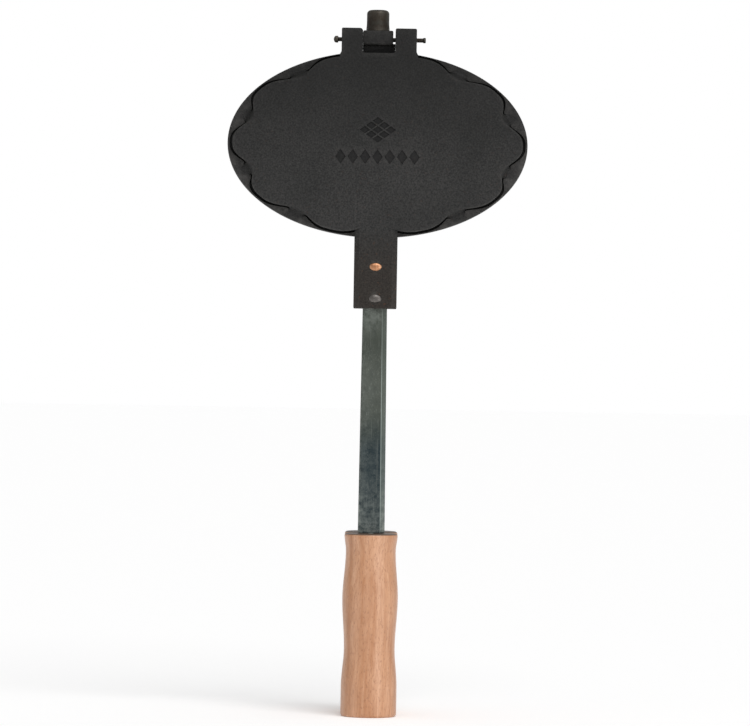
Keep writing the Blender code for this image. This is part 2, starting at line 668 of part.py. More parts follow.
def build():
    """Model every sub-part and hang the front half on the hinge's axis."""
    cast = (0.045, 0.044, 0.042)
    front = make_half("front", True, front_plate(new_material("front_plate", cast, 0.62, 0.3)))
    make_half("rear", False, rear_plate(new_material("rear_plate", cast, 0.62, 0.3)))
    end_stud(new_material("end_stud", (0.16, 0.12, 0.09), 0.5, 0.6))
    hinge_pin(new_material("hinge_pin", (0.22, 0.20, 0.18), 0.45, 0.9))
    hang_on("front_half_on_hinge_axis", (0.0, 0.0, HINGE_Z), front)


build()
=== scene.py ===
"""Waffle cone iron, the visual model: two cast plates on a hinge, flat bars and turned wooden grips.

Every piece is modelled at its place in the CAD frame, in metres, and rides on a CAD body. The front
half faces -Y. What the two halves have alike is modelled for the front, and its copy is turned half
a turn about Z for the rear.
"""

import logging
import math
from collections.abc import Callable, Sequence
from dataclasses import dataclass, field
from enum import Enum

import bmesh
import bpy
from mathutils import Euler, Matrix, Vector


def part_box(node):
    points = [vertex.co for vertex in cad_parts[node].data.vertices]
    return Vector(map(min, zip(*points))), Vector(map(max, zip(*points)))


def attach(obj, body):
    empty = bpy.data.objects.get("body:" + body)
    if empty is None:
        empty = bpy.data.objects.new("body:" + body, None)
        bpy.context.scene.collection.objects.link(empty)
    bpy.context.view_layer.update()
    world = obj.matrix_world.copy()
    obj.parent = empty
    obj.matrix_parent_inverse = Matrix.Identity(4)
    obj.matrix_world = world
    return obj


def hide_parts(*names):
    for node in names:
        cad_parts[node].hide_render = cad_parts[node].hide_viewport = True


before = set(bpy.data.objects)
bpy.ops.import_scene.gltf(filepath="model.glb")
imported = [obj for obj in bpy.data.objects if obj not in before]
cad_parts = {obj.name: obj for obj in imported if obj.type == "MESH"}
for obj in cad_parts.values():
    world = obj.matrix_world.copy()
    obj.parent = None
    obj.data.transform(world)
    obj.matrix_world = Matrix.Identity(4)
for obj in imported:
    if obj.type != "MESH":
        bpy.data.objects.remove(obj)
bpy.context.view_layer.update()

LOG = logging.getLogger("waffle_iron")
Place = tuple[float, float, float]
Spot = tuple[float, float]
Ring = list[Place]
Tone = tuple[float, float, float, float]
Layers = tuple[object, object, object, float]
Sockets = dict[str, object]
Piece = bpy.types.Object
WHITE = (1.0, 1.0, 1.0, 1.0)
TOUCH = 0.00002    # metres between two pieces that look as if they touch
NEAR = 0.00001     # metres within which two places count as one
THROUGH = 0.02     # metres that a cutter reaches past the middle of the iron


class Side(Enum):
    """The two halves of the iron, by the body that carries each."""

    FRONT = "front_half"
    REAR = "rear_half"

    @property
    def word(self) -> str:
        """The half's word in the names of its pieces."""
        return self.name.lower()


class Joining(Enum):
    """How one shape changes another."""

    ADD = "UNION"
    CUT = "DIFFERENCE"
    KEEP_COMMON = "INTERSECT"


class Kind(Enum):
    """The parts of a mesh that can be picked, by the selection mode that picks them."""

    POINTS = (True, False, False)
    EDGES = (False, True, False)
    FACES = (False, False, True)


def middle(node: str) -> Vector:
    """The middle of a CAD node's box."""
    low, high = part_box(node)
    return (Vector(low) + Vector(high)) / 2


def foot_of(node: str) -> float:
    """The height of a CAD node's lowest point."""
    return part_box(node)[0][2]


def top_of(node: str) -> float:
    """The height of a CAD node's highest point."""
    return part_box(node)[1][2]


def mix(start: float, end: float, share: float) -> float:
    """The value a share of the way from start to end."""
    return start + (end - start) * share


def ease(share: float) -> float:
    """A smooth step from 0 to 1, held outside that span."""
    share = min(max(share, 0.0), 1.0)
    return share * share * (3.0 - 2.0 * share)


def rounding(turn: float) -> Spot:
    """How far in and how far down a quarter-round edge of radius 1 has gone after a turn in degrees."""
    angle = math.radians(turn)
    return 1 - math.cos(angle), 1 - math.sin(angle)


def rounded(corners: Sequence[Spot], radii: float | Sequence[float], steps: int = 5) -> list[Spot]:
    """Round the corners of a flat outline.

    Args:
        corners: The outline's corners, in order.
        radii: One radius for all corners, or one for each; 0 leaves a corner sharp.
        steps: Straight steps in each rounded corner.

    Returns:
        The outline with an arc in place of each rounded corner.
    """
    each = [radii] * len(corners) if isinstance(radii, (int, float)) else list(radii)
    outline: list[Spot] = []
    for number, (corner, radius) in enumerate(zip(corners, each)):
        here = Vector(corner)
        if radius <= 0:
            outline.append(tuple(here))
            continue
        before = (Vector(corners[number - 1]) - here).normalized()
        after = (Vector(corners[(number + 1) % len(corners)]) - here).normalized()
        half = before.angle(after) / 2
        centre = here + (before + after).normalized() * radius / math.sin(half)
        start = here + before * radius / math.tan(half) - centre
        sweep = math.pi - 2 * half
        turn = 1.0 if before.x * after.y - before.y * after.x < 0 else -1.0
        for step in range(steps + 1):
            angle = turn * sweep * step / steps
            outline.append((centre.x + start.x * math.cos(angle) - start.y * math.sin(angle),
                            centre.y + start.x * math.sin(angle) + start.y * math.cos(angle)))
    return outline


def circle(radius: float, count: int, phase: float = 0.0, squeeze: float = 1.0) -> list[Spot]:
    """Points evenly round a circle, or round an oval squeezed along its second axis."""
    angles = (math.tau * number / count + phase for number in range(count))
    return [(radius * math.cos(angle), radius * squeeze * math.sin(angle)) for angle in angles]


class Bench:
    """The modelling steps, each done with the operators used by hand."""

    @staticmethod
    def activate(item: Piece) -> None:
        """Make a piece the only selected one and the active one."""
        bpy.ops.object.select_all(action="DESELECT")
        item.select_set(True)
        bpy.context.view_layer.objects.active = item

    @staticmethod
    def take(name: str) -> Piece:
        """The active piece, once it and its data bear a name."""
        item = bpy.context.active_object
        item.name = item.data.name = name
        return item

    @staticmethod
    def start_editing(item: Piece) -> None:
        """Open a piece in edit mode."""
        Bench.activate(item)
        bpy.ops.object.mode_set(mode="EDIT")

    @staticmethod
    def stop_editing() -> None:
        """Go back to object mode."""
        bpy.ops.object.mode_set(mode="OBJECT")

    @staticmethod
    def put(mesh: bpy.types.Mesh, ring: Ring, order: dict[Place, int] | None) -> dict[Place, int]:
        """Put the selected points at a ring's places.

        Args:
            mesh: The mesh in edit mode.
            ring: The places, in order.
            order: Each selected point's number in the ring by where it is now, or None for a new circle.

        Returns:
            Each point's number by its new place.
        """
        shape = bmesh.from_edit_mesh(mesh)
        placed = {}
        chosen = [vertex for vertex in shape.verts if vertex.select]
        for number, vertex in enumerate(chosen):
            index = number if order is None else order[tuple(vertex.co)]
            vertex.co = ring[index]
            placed[tuple(vertex.co)] = index
        bmesh.update_edit_mesh(mesh)
        return placed

    @staticmethod
    def loft(name: str, rings: Sequence[Ring], tube: bool = False) -> Piece:
        """Extrude a circle's edge from ring to ring.

        Args:
            name: The piece's name.
            rings: The rings' places, each with the same number of points.
            tube: True joins the last ring to the first; False caps both ends.

        Returns:
            The closed piece, in object mode.
        """
        bpy.ops.object.select_all(action="DESELECT")
        bpy.context.tool_settings.mesh_select_mode = (True, False, False)
        bpy.ops.mesh.primitive_circle_add(vertices=len(rings[0]), radius=1.0, enter_editmode=True,
                                          fill_type="NOTHING" if tube else "NGON")
        item = Bench.take(name)
        bpy.ops.mesh.select_all(action="SELECT")
        order = Bench.put(item.data, rings[0], None)
        for ring in list(rings[1:]) + ([rings[0]] if tube else []):
            bpy.ops.mesh.extrude_region()
            order = Bench.put(item.data, ring, order)
        bpy.ops.mesh.select_all(action="SELECT")
        if tube:
            bpy.ops.mesh.remove_doubles(threshold=1e-7)
        bpy.ops.mesh.normals_make_consistent(inside=False)
        Bench.stop_editing()
        return item

    @staticmethod
    def prism(name: str, outline: Sequence[Spot], low: float, high: float,
              place: Callable[[float, float, float], Place]) -> Piece:
        """Extrude a flat outline.

        Args:
            name: The piece's name.
            outline: The outline's points.
            low: Where the extrusion starts, along its own axis.
            high: Where it ends.
            place: Turns an outline point and a height into a place.

        Returns:
            The piece, in object mode.
        """
        return Bench.loft(name, [[place(a, b, level) for a, b in outline] for level in (low, high)])

    @staticmethod
    def turned(name: str, axis: Vector, profile: Sequence[Spot], count: int, tube: bool = False) -> Piece:
        """Loft a round piece that stands along Z.

        Args:
            name: The piece's name.
            axis: A place on its axis.
            profile: Its radii and their heights, in order.
            count: Points round it.
            tube: True for a piece with a hole through it.

        Returns:
            The piece, in object mode.
        """
        rings = [[(axis.x + x, axis.y + y, height) for x, y in circle(radius, count)]
                 for radius, height in profile]
        return Bench.loft(name, rings, tube)

    @staticmethod
    def block(name: str, low: Place, high: Place) -> Piece:
        """A box between two corners, from a cube sized and moved in edit mode."""
        bpy.ops.object.select_all(action="DESELECT")
        bpy.ops.mesh.primitive_cube_add(size=1.0, enter_editmode=True)
        item = Bench.take(name)
        bpy.ops.mesh.select_all(action="SELECT")
        bpy.ops.transform.resize(value=tuple(h - l for l, h in zip(low, high)))
        bpy.ops.transform.translate(value=tuple((l + h) / 2 for l, h in zip(low, high)))
        Bench.stop_editing()
        return item

    @staticmethod
    def pick(item: Piece, kind: Kind, test: Callable[[object], bool]) -> None:
        """Select the parts of one kind that pass a test. The piece is in edit mode."""
        bpy.ops.mesh.select_all(action="DESELECT")
        bpy.context.tool_settings.mesh_select_mode = kind.value
        shape = bmesh.from_edit_mesh(item.data)
        parts = {Kind.POINTS: shape.verts, Kind.EDGES: shape.edges, Kind.FACES: shape.faces}[kind]
        for part in parts:
            if test(part):
                part.select_set(True)
        bmesh.update_edit_mesh(item.data)

    @staticmethod
    def mark_picked(item: Piece, number: int) -> None:
        """Give the selected faces a material number, and all others 0. The piece is in edit mode."""
        shape = bmesh.from_edit_mesh(item.data)
        for face in shape.faces:
            face.material_index = number if face.select else 0
        bmesh.update_edit_mesh(item.data)

    @staticmethod
    def bevel(item: Piece, width: float, segments: int, test: Callable[[Vector, Vector], bool]) -> None:
        """Round the edges whose two ends pass a test."""
        Bench.start_editing(item)
        Bench.pick(item, Kind.EDGES, lambda edge: test(edge.verts[0].co, edge.verts[1].co))
        bpy.ops.mesh.bevel(offset=width, segments=segments, affect="EDGES", clamp_overlap=True)
        Bench.stop_editing()

    @staticmethod
    def shift(item: Piece, move: Place, test: Callable[[Vector], bool]) -> None:
        """Move the points that pass a test."""
        Bench.start_editing(item)
        Bench.pick(item, Kind.POINTS, lambda vertex: test(vertex.co))
        bpy.ops.transform.translate(value=move)
        Bench.stop_editing()

    @staticmethod
    def join(item: Piece, tool: Piece, how: Joining) -> None:
        """Add a shape to a piece or cut it away, and remove the shape."""
        Bench.activate(item)
        bpy.ops.object.modifier_add(type="BOOLEAN")
        step = item.modifiers[-1]
        step.operation = how.value
        step.solver = "EXACT"
        step.object = tool
        bpy.ops.object.modifier_apply(modifier=step.name)
        bpy.data.objects.remove(tool, do_unlink=True)

    @staticmethod
    def bore_for_rivets(item: Piece, radius: float) -> None:
        """Cut the holes of the two front rivets through a front piece."""
        for node in ("front_upper_rivet", "front_lower_rivet"):
            height = middle(node).z
            bore = Bench.prism("rivet_bore", circle(radius, 24), -THROUGH, 0.0,
                               lambda x, z, y, height=height: (x, y, height + z))
            Bench.join(item, bore, Joining.CUT)

    @staticmethod
    def gather(name: str, items: Sequence[Piece]) -> Piece:
        """Make several shapes that don't touch one object."""
        bpy.ops.object.select_all(action="DESELECT")
        for item in items:
            item.select_set(True)
        bpy.context.view_layer.objects.active = items[0]
        bpy.ops.object.join()
        return Bench.take(name)

    @staticmethod
    def rear_copy(item: Piece, name: str) -> Piece:
        """Copy a front piece with its own mesh, turned half a turn about Z for the rear half."""
        Bench.activate(item)
        bpy.ops.object.duplicate(linked=False)
        copy = Bench.take(name)
        bpy.ops.object.mode_set(mode="EDIT")
        bpy.ops.mesh.select_all(action="SELECT")
        bpy.ops.transform.rotate(value=math.pi, orient_axis="Z", center_override=(0.0, 0.0, 0.0))
        Bench.stop_editing()
        return copy

    @staticmethod
    def smooth(item: Piece, angle: float = 32.0) -> None:
        """Shade the round faces smooth, with normals that follow the large flat faces."""
        Bench.activate(item)
        bpy.ops.object.shade_smooth_by_angle(angle=math.radians(angle))
        bpy.ops.object.modifier_add(type="WEIGHTED_NORMAL")
        step = item.modifiers[-1]
        step.keep_sharp = True
        bpy.ops.object.modifier_apply(modifier=step.name)


# ---------------------------------------------------------------- finishes

def tone(red: float, green: float, blue: float) -> Tone:
    """A shown colour, 0 to 255 a channel, as the linear colour that shaders use."""
    parts = [value / 255 for value in (red, green, blue)]
    linear = [part / 12.92 if part <= 0.04045 else ((part + 0.055) / 1.055) ** 2.4 for part in parts]
    return (*linear, 1.0)


class Board:
    """A node tree, with short words for laying nodes on it."""

    def __init__(self, tree: bpy.types.NodeTree) -> None:
        """Keep the tree."""
        self.tree = tree

    def feed(self, socket: bpy.types.NodeSocket, value: object) -> None:
        """Link another node's socket into a socket, or set a plain value there."""
        if isinstance(value, bpy.types.NodeSocket):
            self.tree.links.new(value, socket)
        else:
            socket.default_value = value

    def lay(self, kind: str, inputs: dict[str | int, object] | None = None,
            **settings: object) -> bpy.types.Node:
        """Add a node.

        Args:
            kind: The node's type, without "ShaderNode".
            inputs: What goes into its sockets: an output socket to link, or a value.
            settings: The node's own settings.

        Returns:
            The node.
        """
        node = self.tree.nodes.new(kind if kind.startswith("NodeGroup") else "ShaderNode" + kind)
        for name, value in settings.items():
            setattr(node, name, value)
        for name, value in (inputs or {}).items():
            self.feed(node.inputs[name], value)
        return node

    def noise(self, where: object, scale: object, detail: float = 3.0, rough: float = 0.5) -> object:
        """The value of a noise texture."""
        return self.lay("TexNoise", {"Vector": where, "Scale": scale, "Detail": detail,
                                     "Roughness": rough}).outputs["Fac"]

    def stretch(self, where: object, scale: Place, slant: float = 0.0) -> object:
        """Coordinates scaled, and slanted by a turn about Y in degrees."""
        return self.lay("Mapping", {"Vector": where, "Scale": scale,
                                    "Rotation": (0.0, math.radians(slant), 0.0)}).outputs["Vector"]

    def reckon(self, how: str, first: object, second: object = 0.0) -> object:
        """A math node's value."""
        return self.lay("Math", {0: first, 1: second}, operation=how).outputs[0]

    def times(self, first: object, *others: object) -> object:
        """A product."""
        for other in others:
            first = self.reckon("MULTIPLY", first, other)
        return first

    def plus(self, first: object, second: object) -> object:
        """A sum."""
        return self.reckon("ADD", first, second)

    def minus(self, first: object, second: object) -> object:
        """A difference."""
        return self.reckon("SUBTRACT", first, second)

    def larger(self, first: object, second: object) -> object:
        """The larger of two values."""
        return self.reckon("MAXIMUM", first, second)

    def unsigned(self, value: object) -> object:
        """A value without its sign."""
        return self.reckon("ABSOLUTE", value)

    def span(self, value: object, low: float, high: float, start: float = 0.0, end: float = 1.0) -> object:
        """A value mapped from low..high to start..end, held at the ends."""
        return self.lay("MapRange", {"Value": value, "From Min": low, "From Max": high,
                                     "To Min": start, "To Max": end}).outputs["Result"]

    def streaks(self, where: object, scale: Place, detail: float, rough: float, limits: Spot) -> object:
        """A mask of noise with its own scale along each axis, between two limits."""
        return self.span(self.noise(self.stretch(where, scale), 1.0, detail, rough), *limits)

    def blend(self, share: object, first: object, second: object) -> object:
        """A colour mixed from two."""
        return self.lay("Mix", {0: share, 6: first, 7: second}, data_type="RGBA").outputs[2]

    def along(self, axis: str) -> object:
        """One coordinate of the piece's own space, "X", "Y" or "Z"."""
        where = self.lay("TexCoord").outputs["Object"]
        return self.lay("SeparateXYZ", {0: where}).outputs[axis]

    def fade(self, origin: float, limits: Spot, start: float = 0.0, end: float = 1.0) -> object:
        """A value that changes with height, from start to end between two limits above an origin."""
        return self.span(self.along("Z"), origin + limits[0], origin + limits[1], start, end)


class Effect:
    """A shared surface effect: a node group with named inputs and outputs, built once."""

    def __init__(self, name: str, inputs: dict[str, float], outputs: Sequence[str],
                 draw: Callable[[Board, Sockets], Sockets]) -> None:
        """Build the group.

        Args:
            name: The group's name.
            inputs: Its value inputs and their defaults, besides the coordinates.
            outputs: Its value outputs.
            draw: Lays the nodes from the input sockets and returns the output sockets by name.
        """
        self.tree = bpy.data.node_groups.new(name, "ShaderNodeTree")
        self.tree.interface.new_socket("Vector", in_out="INPUT", socket_type="NodeSocketVector")
        for word, value in inputs.items():
            socket = self.tree.interface.new_socket(word, in_out="INPUT", socket_type="NodeSocketFloat")
            socket.default_value = value
        for word in outputs:
            self.tree.interface.new_socket(word, in_out="OUTPUT", socket_type="NodeSocketFloat")
        board = Board(self.tree)
        start = board.lay("NodeGroupInput")
        end = board.lay("NodeGroupOutput")
        for word, socket in draw(board, dict(start.outputs.items())).items():
            self.tree.links.new(socket, end.inputs[word])

    def on(self, board: Board, where: object, **values: object) -> Sockets:
        """Place the effect in a material.

        Args:
            board: The material's board.
            where: The coordinates.
            values: The effect's inputs, by name.

        Returns:
            Its outputs by name.
        """
        return dict(board.lay("Group", {"Vector": where, **values}, node_tree=self.tree).outputs.items())


def draw_grain(board: Board, given: Sockets) -> Sockets:
    """Fine lumps over broad unevenness, for a height, and a slow mottling."""
    fine = board.noise(given["Vector"], given["Fine"], 2.0)
    broad = board.noise(given["Vector"], given["Broad"], 2.0)
    slow = board.noise(given["Vector"], 24.0, 4.0, 0.6)
    return {"Height": board.plus(fine, board.times(broad, 1.6)), "Mottle": board.span(slow, 0.32, 0.68)}


def draw_wear(board: Board, given: Sockets) -> Sockets:
    """Masks for worn edges, broken up by noise, and for concave corners where shade is painted."""
    point = board.lay("NewGeometry").outputs["Pointiness"]
    broken = board.span(board.noise(given["Vector"], 260.0, 4.0, 0.7), 0.30, 0.62)
    edge = board.times(board.span(point, 0.505, 0.56), broken, given["Amount"])
    # The corner mask marks concave corners, which the finishes darken as painted shade.
    return {"Edges": edge, "Corners": board.span(point, 0.492, 0.43)}


def draw_specks(board: Board, given: Sockets) -> Sockets:
    """Scattered specks, thicker in some patches."""
    small = board.noise(given["Vector"], given["Scale"], 2.0, 0.6)
    patch = board.span(board.noise(given["Vector"], 45.0, 2.0), 0.35, 0.65)
    level = board.plus(small, board.times(patch, 0.06))
    return {"Mask": board.span(board.minus(level, given["Cut"]), 0.0, 0.05)}


def draw_scratches(board: Board, given: Sockets) -> Sockets:
    """Fine lines along Z and some at a slant."""
    marks = []
    for scale, slant in (((900.0, 900.0, 26.0), 0.0), ((700.0, 700.0, 60.0), 21.0),
                         ((800.0, 800.0, 50.0), -38.0)):
        where = board.stretch(given["Vector"], scale, slant)
        marks.append(board.span(board.noise(where, 1.0, 1.0), 0.665, 0.72))
    lines = board.larger(board.larger(marks[0], marks[1]), marks[2])
    return {"Mask": board.times(lines, given["Amount"])}


@dataclass(frozen=True)
class Effects:
    """The shared effects, each built once."""

    grain: Effect
    wear: Effect
    specks: Effect
    scratches: Effect

    @staticmethod
    def build() -> "Effects":
        """Build the shared node groups."""
        return Effects(
            Effect("cast_grain", {"Fine": 1500.0, "Broad": 500.0}, ["Height", "Mottle"], draw_grain),
            Effect("edge_wear", {"Amount": 1.0}, ["Edges", "Corners"], draw_wear),
            Effect("specks", {"Scale": 600.0, "Cut": 0.62}, ["Mask"], draw_specks),
            Effect("scratches", {"Amount": 1.0}, ["Mask"], draw_scratches),
        )


@dataclass(frozen=True)
class Finish:
    """A surface finish: its name, the record's material slot, and plain values of its shader.

    The glow is only for the floor, which is lit up like a light table, so that shadows stay pale. The
    coat is only for the wood's oil.
    """

    name: str
    slot: str
    metallic: float = 0.0
    specular: float = 0.5
    glow: float = 0.0
    coat: float = 0.0
    coat_rough: float = 0.34

    def make(self, effects: Effects) -> bpy.types.Material:
        """Build the material.

        Args:
            effects: The shared effects.

        Returns:
            The material.
        """
        material = bpy.data.materials.new(self.name)
        material.use_nodes = True
        board = Board(material.node_tree)
        shader = material.node_tree.nodes["Principled BSDF"]
        plain = {"Metallic": self.metallic, "Specular IOR Level": self.specular, "Coat Weight": self.coat,
                 "Coat Roughness": self.coat_rough, "Emission Color": WHITE, "Emission Strength": self.glow}
        for name, value in plain.items():
            shader.inputs[name].default_value = value
        where = board.lay("TexCoord").outputs["Object"]
        colour, rough, height, depth = self.surface(board, where, effects)
        bump = board.lay("Bump", {"Strength": 1.0, "Distance": depth, "Height": height})
        board.feed(shader.inputs["Base Color"], colour)
        board.feed(shader.inputs["Roughness"], rough)
        board.feed(shader.inputs["Normal"], bump.outputs["Normal"])
        return material

    def surface(self, board: Board, where: object, effects: Effects) -> Layers:
        """Lay the finish's own nodes.

        Args:
            board: The material's board.
            where: The piece's own coordinates.
            effects: The shared effects.

        Returns:
            The colour, the roughness, the height, and how deep the height is in metres.
        """
        raise NotImplementedError


@dataclass(frozen=True)
class CastIron(Finish):
    """Seasoned sand-cast iron: near black, grainy, warmer on the lug, smoother inside. Painted shade darkens
    it towards the plate's top, at the neck, in concave corners and in the crevices round the panel, and the
    motif's floors are darker.

    Fades are heights above the plate's foot or top, and depths are distances from the plane between
    the plates. Edges are shares of the plate's own oval.
    """

    plate_foot: float = 0.3171
    plate_top: float = 0.4415
    plate_half: float = 0.1000
    lug_fade: Spot = (0.006, -0.024)
    neck_fade: Spot = (-0.004, -0.002)
    soot_fade: Spot = (-0.085, -0.006)
    inner_depth: Spot = (0.0024, 0.0005)
    crevice_front: Spot = (0.0048, 0.0044)
    crevice_back: Spot = (0.0020, 0.0022)
    crevice_edge: Spot = (0.990, 0.985)
    motif_front: Spot = (0.01175, 0.0116)
    motif_back: Spot = (0.0110, 0.0111)
    motif_edge: Spot = (0.5, 0.45)

    def surface(self, board: Board, where: object, effects: Effects) -> Layers:
        """Lay the finish's own nodes."""
        grain = effects.grain.on(board, where, Fine=1500.0, Broad=560.0)
        mottle = grain["Mottle"]
        wear = effects.wear.on(board, where, Amount=0.55)
        rust = effects.specks.on(board, where, Scale=420.0, Cut=0.66)["Mask"]
        sand = board.span(board.noise(where, 900.0, 4.0, 0.7), 0.36, 0.64)
        dark = board.blend(sand, board.blend(mottle, tone(24, 24, 24), tone(30, 30, 30)),
                           board.blend(mottle, tone(48, 48, 47), tone(57, 56, 55)))
        lug = board.fade(self.plate_foot, self.lug_fade)
        warm = board.blend(board.times(lug, 0.9), dark,
                           board.blend(sand, tone(31, 27, 24), tone(50, 45, 40)))
        inside = board.span(board.unsigned(board.along("Y")), *self.inner_depth)
        # Painted shade: the inner faces go near black at the neck, from just below the plate's top upward;
        # elsewhere inside they take the seasoned tone.
        neck = board.fade(self.plate_top, self.neck_fade)
        seasoned_with_neck_shade = board.blend(inside, warm, board.blend(neck, tone(30, 28, 26), tone(6, 6, 6)))
        rusty = board.blend(board.times(rust, board.plus(board.times(lug, 0.5), 0.12)), seasoned_with_neck_shade,
                            tone(74, 50, 36))
        worn = board.blend(wear["Edges"], rusty, tone(84, 82, 80))
        # Painted shade: the plate darkens towards its top.
        top_shaded = board.blend(board.fade(self.plate_top, self.soot_fade, 0.0, 0.62), worn, tone(12, 12, 11))
        # Painted shade: concave corners darkened towards near black.
        deep = board.blend(board.times(wear["Corners"], 0.8), top_shaded, tone(8, 8, 8))
        # Painted shade in the crevices round the panel, near black; the motif's floors darken under the same
        # mask.
        hollows_darkened = board.blend(self.hollow(board, where), deep, tone(9, 9, 9))
        rough = board.minus(board.span(mottle, 0.0, 1.0, 0.66, 0.56), board.times(inside, 0.2))
        height = board.times(grain["Height"], board.span(inside, 0.0, 1.0, 1.0, 0.35))
        return hollows_darkened, rough, height, 0.00016

    def hollow(self, board: Board, where: object) -> object:
        """A mask for painted shade in the crevices round the panel, and for the motif's darker floors."""
        centre = (self.plate_foot + self.plate_top) / 2
        half_height = (self.plate_top - self.plate_foot) / 2
        spot = board.lay("VectorMath", {0: where, 1: (0.0, 0.0, centre)}, operation="SUBTRACT").outputs[0]
        flat = board.lay("VectorMath", {0: spot, 1: (1.0 / self.plate_half, 0.0, 1.0 / half_height)},
                         operation="MULTIPLY").outputs[0]
        reach = board.lay("VectorMath", {0: flat}, operation="LENGTH").outputs["Value"]
        depth = board.unsigned(board.along("Y"))
        groove = board.times(board.span(depth, *self.crevice_front), board.span(depth, *self.crevice_back),
                             board.span(reach, *self.crevice_edge))
        motif = board.times(board.span(depth, *self.motif_front), board.span(depth, *self.motif_back),
                            board.span(reach, *self.motif_edge), 0.45)
        return board.larger(groove, motif)


@dataclass(frozen=True)
class ScaledSteel(Finish):
    """Hot-rolled flat bar under its mill scale: grey-green, turning blue-green towards the grip, with a
    lighter ground flat along one edge and a painted highlight along the flat's inner edge.

    Fades are heights above the change of colour.
    """

    blue_below: float = 0.196
    blue_fade: Spot = (0.014, -0.022)
    ground_fade: Spot = (0.07, 0.01)

    def surface(self, board: Board, where: object, effects: Effects) -> Layers:
        """Lay the finish's own nodes."""
        grain = effects.grain.on(board, where, Fine=1300.0, Broad=300.0)
        wear = effects.wear.on(board, where, Amount=0.9)
        marks = effects.scratches.on(board, where, Amount=0.12)["Mask"]
        flecks = effects.specks.on(board, where, Scale=1100.0, Cut=0.645)["Mask"]
        level = board.plus(board.along("Z"), board.times(board.minus(grain["Mottle"], 0.5), 0.03))
        blue = board.span(level, *(self.blue_below + limit for limit in self.blue_fade))
        scale = board.blend(blue, tone(64, 69, 61), tone(4, 30, 38))
        cloud = board.span(board.noise(board.stretch(where, (1.0, 1.0, 0.25)), 210.0, 5.0, 0.65), 0.3, 0.7)
        cloudy = board.blend(cloud, board.blend(0.38, scale, tone(24, 34, 34)), scale)
        light = board.blend(board.times(flecks, 0.20), cloudy, tone(128, 130, 122))
        scratched = board.blend(marks, light, tone(138, 142, 136))
        flat, highlight_line = self.ground(board)
        low = board.span(level, *(self.blue_below + limit for limit in self.ground_fade), 0.35, 1.0)
        ground = board.blend(board.times(flat, low, 0.34), scratched, tone(108, 117, 110))
        # Painted highlight: a bright line where the ground flat meets the face, stronger towards the grip.
        edge_highlighted = board.blend(board.times(highlight_line, low, 0.62), ground, tone(146, 158, 152))
        worn = board.blend(wear["Edges"], edge_highlighted, tone(150, 156, 150))
        return worn, board.span(cloud, 0.0, 1.0, 0.52, 0.40), grain["Height"], 0.00006

    def ground(self, board: Board) -> tuple[object, object]:
        """Masks for the flat ground along one edge, by where the surface faces, and for a painted highlight
        along its inner edge.
        """
        facing = board.lay("SeparateXYZ", {0: board.lay("TexCoord").outputs["Normal"]}).outputs
        aside = board.unsigned(facing["X"])
        ours = board.span(board.times(facing["X"], facing["Y"]), -0.01, -0.04)
        flat = board.times(board.span(aside, 0.28, 0.40), board.span(aside, 0.80, 0.60), ours)
        highlight_line = board.times(board.span(aside, 0.05, 0.14), board.span(aside, 0.38, 0.26), ours)
        return flat, highlight_line


@dataclass(frozen=True)
class BareMetal(Finish):
    """Plain metal, a little tarnished, with light edges, fine scratches and painted shade in concave
    corners.
    """

    clean: Tone = (0.5, 0.5, 0.5, 1.0)
    stained: Tone = (0.2, 0.2, 0.2, 1.0)
    edge: Tone = (0.8, 0.8, 0.8, 1.0)
    stain: float = 0.5
    rough: Spot = (0.3, 0.5)
    lumps: float = 0.00005

    def surface(self, board: Board, where: object, effects: Effects) -> Layers:
        """Lay the finish's own nodes."""
        grain = effects.grain.on(board, where, Fine=1400.0, Broad=420.0)
        wear = effects.wear.on(board, where, Amount=0.8)
        marks = effects.scratches.on(board, where, Amount=0.35)["Mask"]
        patch = board.span(board.noise(where, 190.0, 5.0, 0.65), 0.38, 0.62)
        base = board.blend(board.times(patch, self.stain), self.clean, self.stained)
        worn = board.blend(wear["Edges"], board.blend(marks, base, self.edge), self.edge)
        # Painted shade: concave corners darkened.
        deep = board.blend(board.times(wear["Corners"], 0.7), worn, tone(24, 22, 20))
        return deep, board.span(patch, 0.0, 1.0, *self.rough), grain["Height"], self.lumps


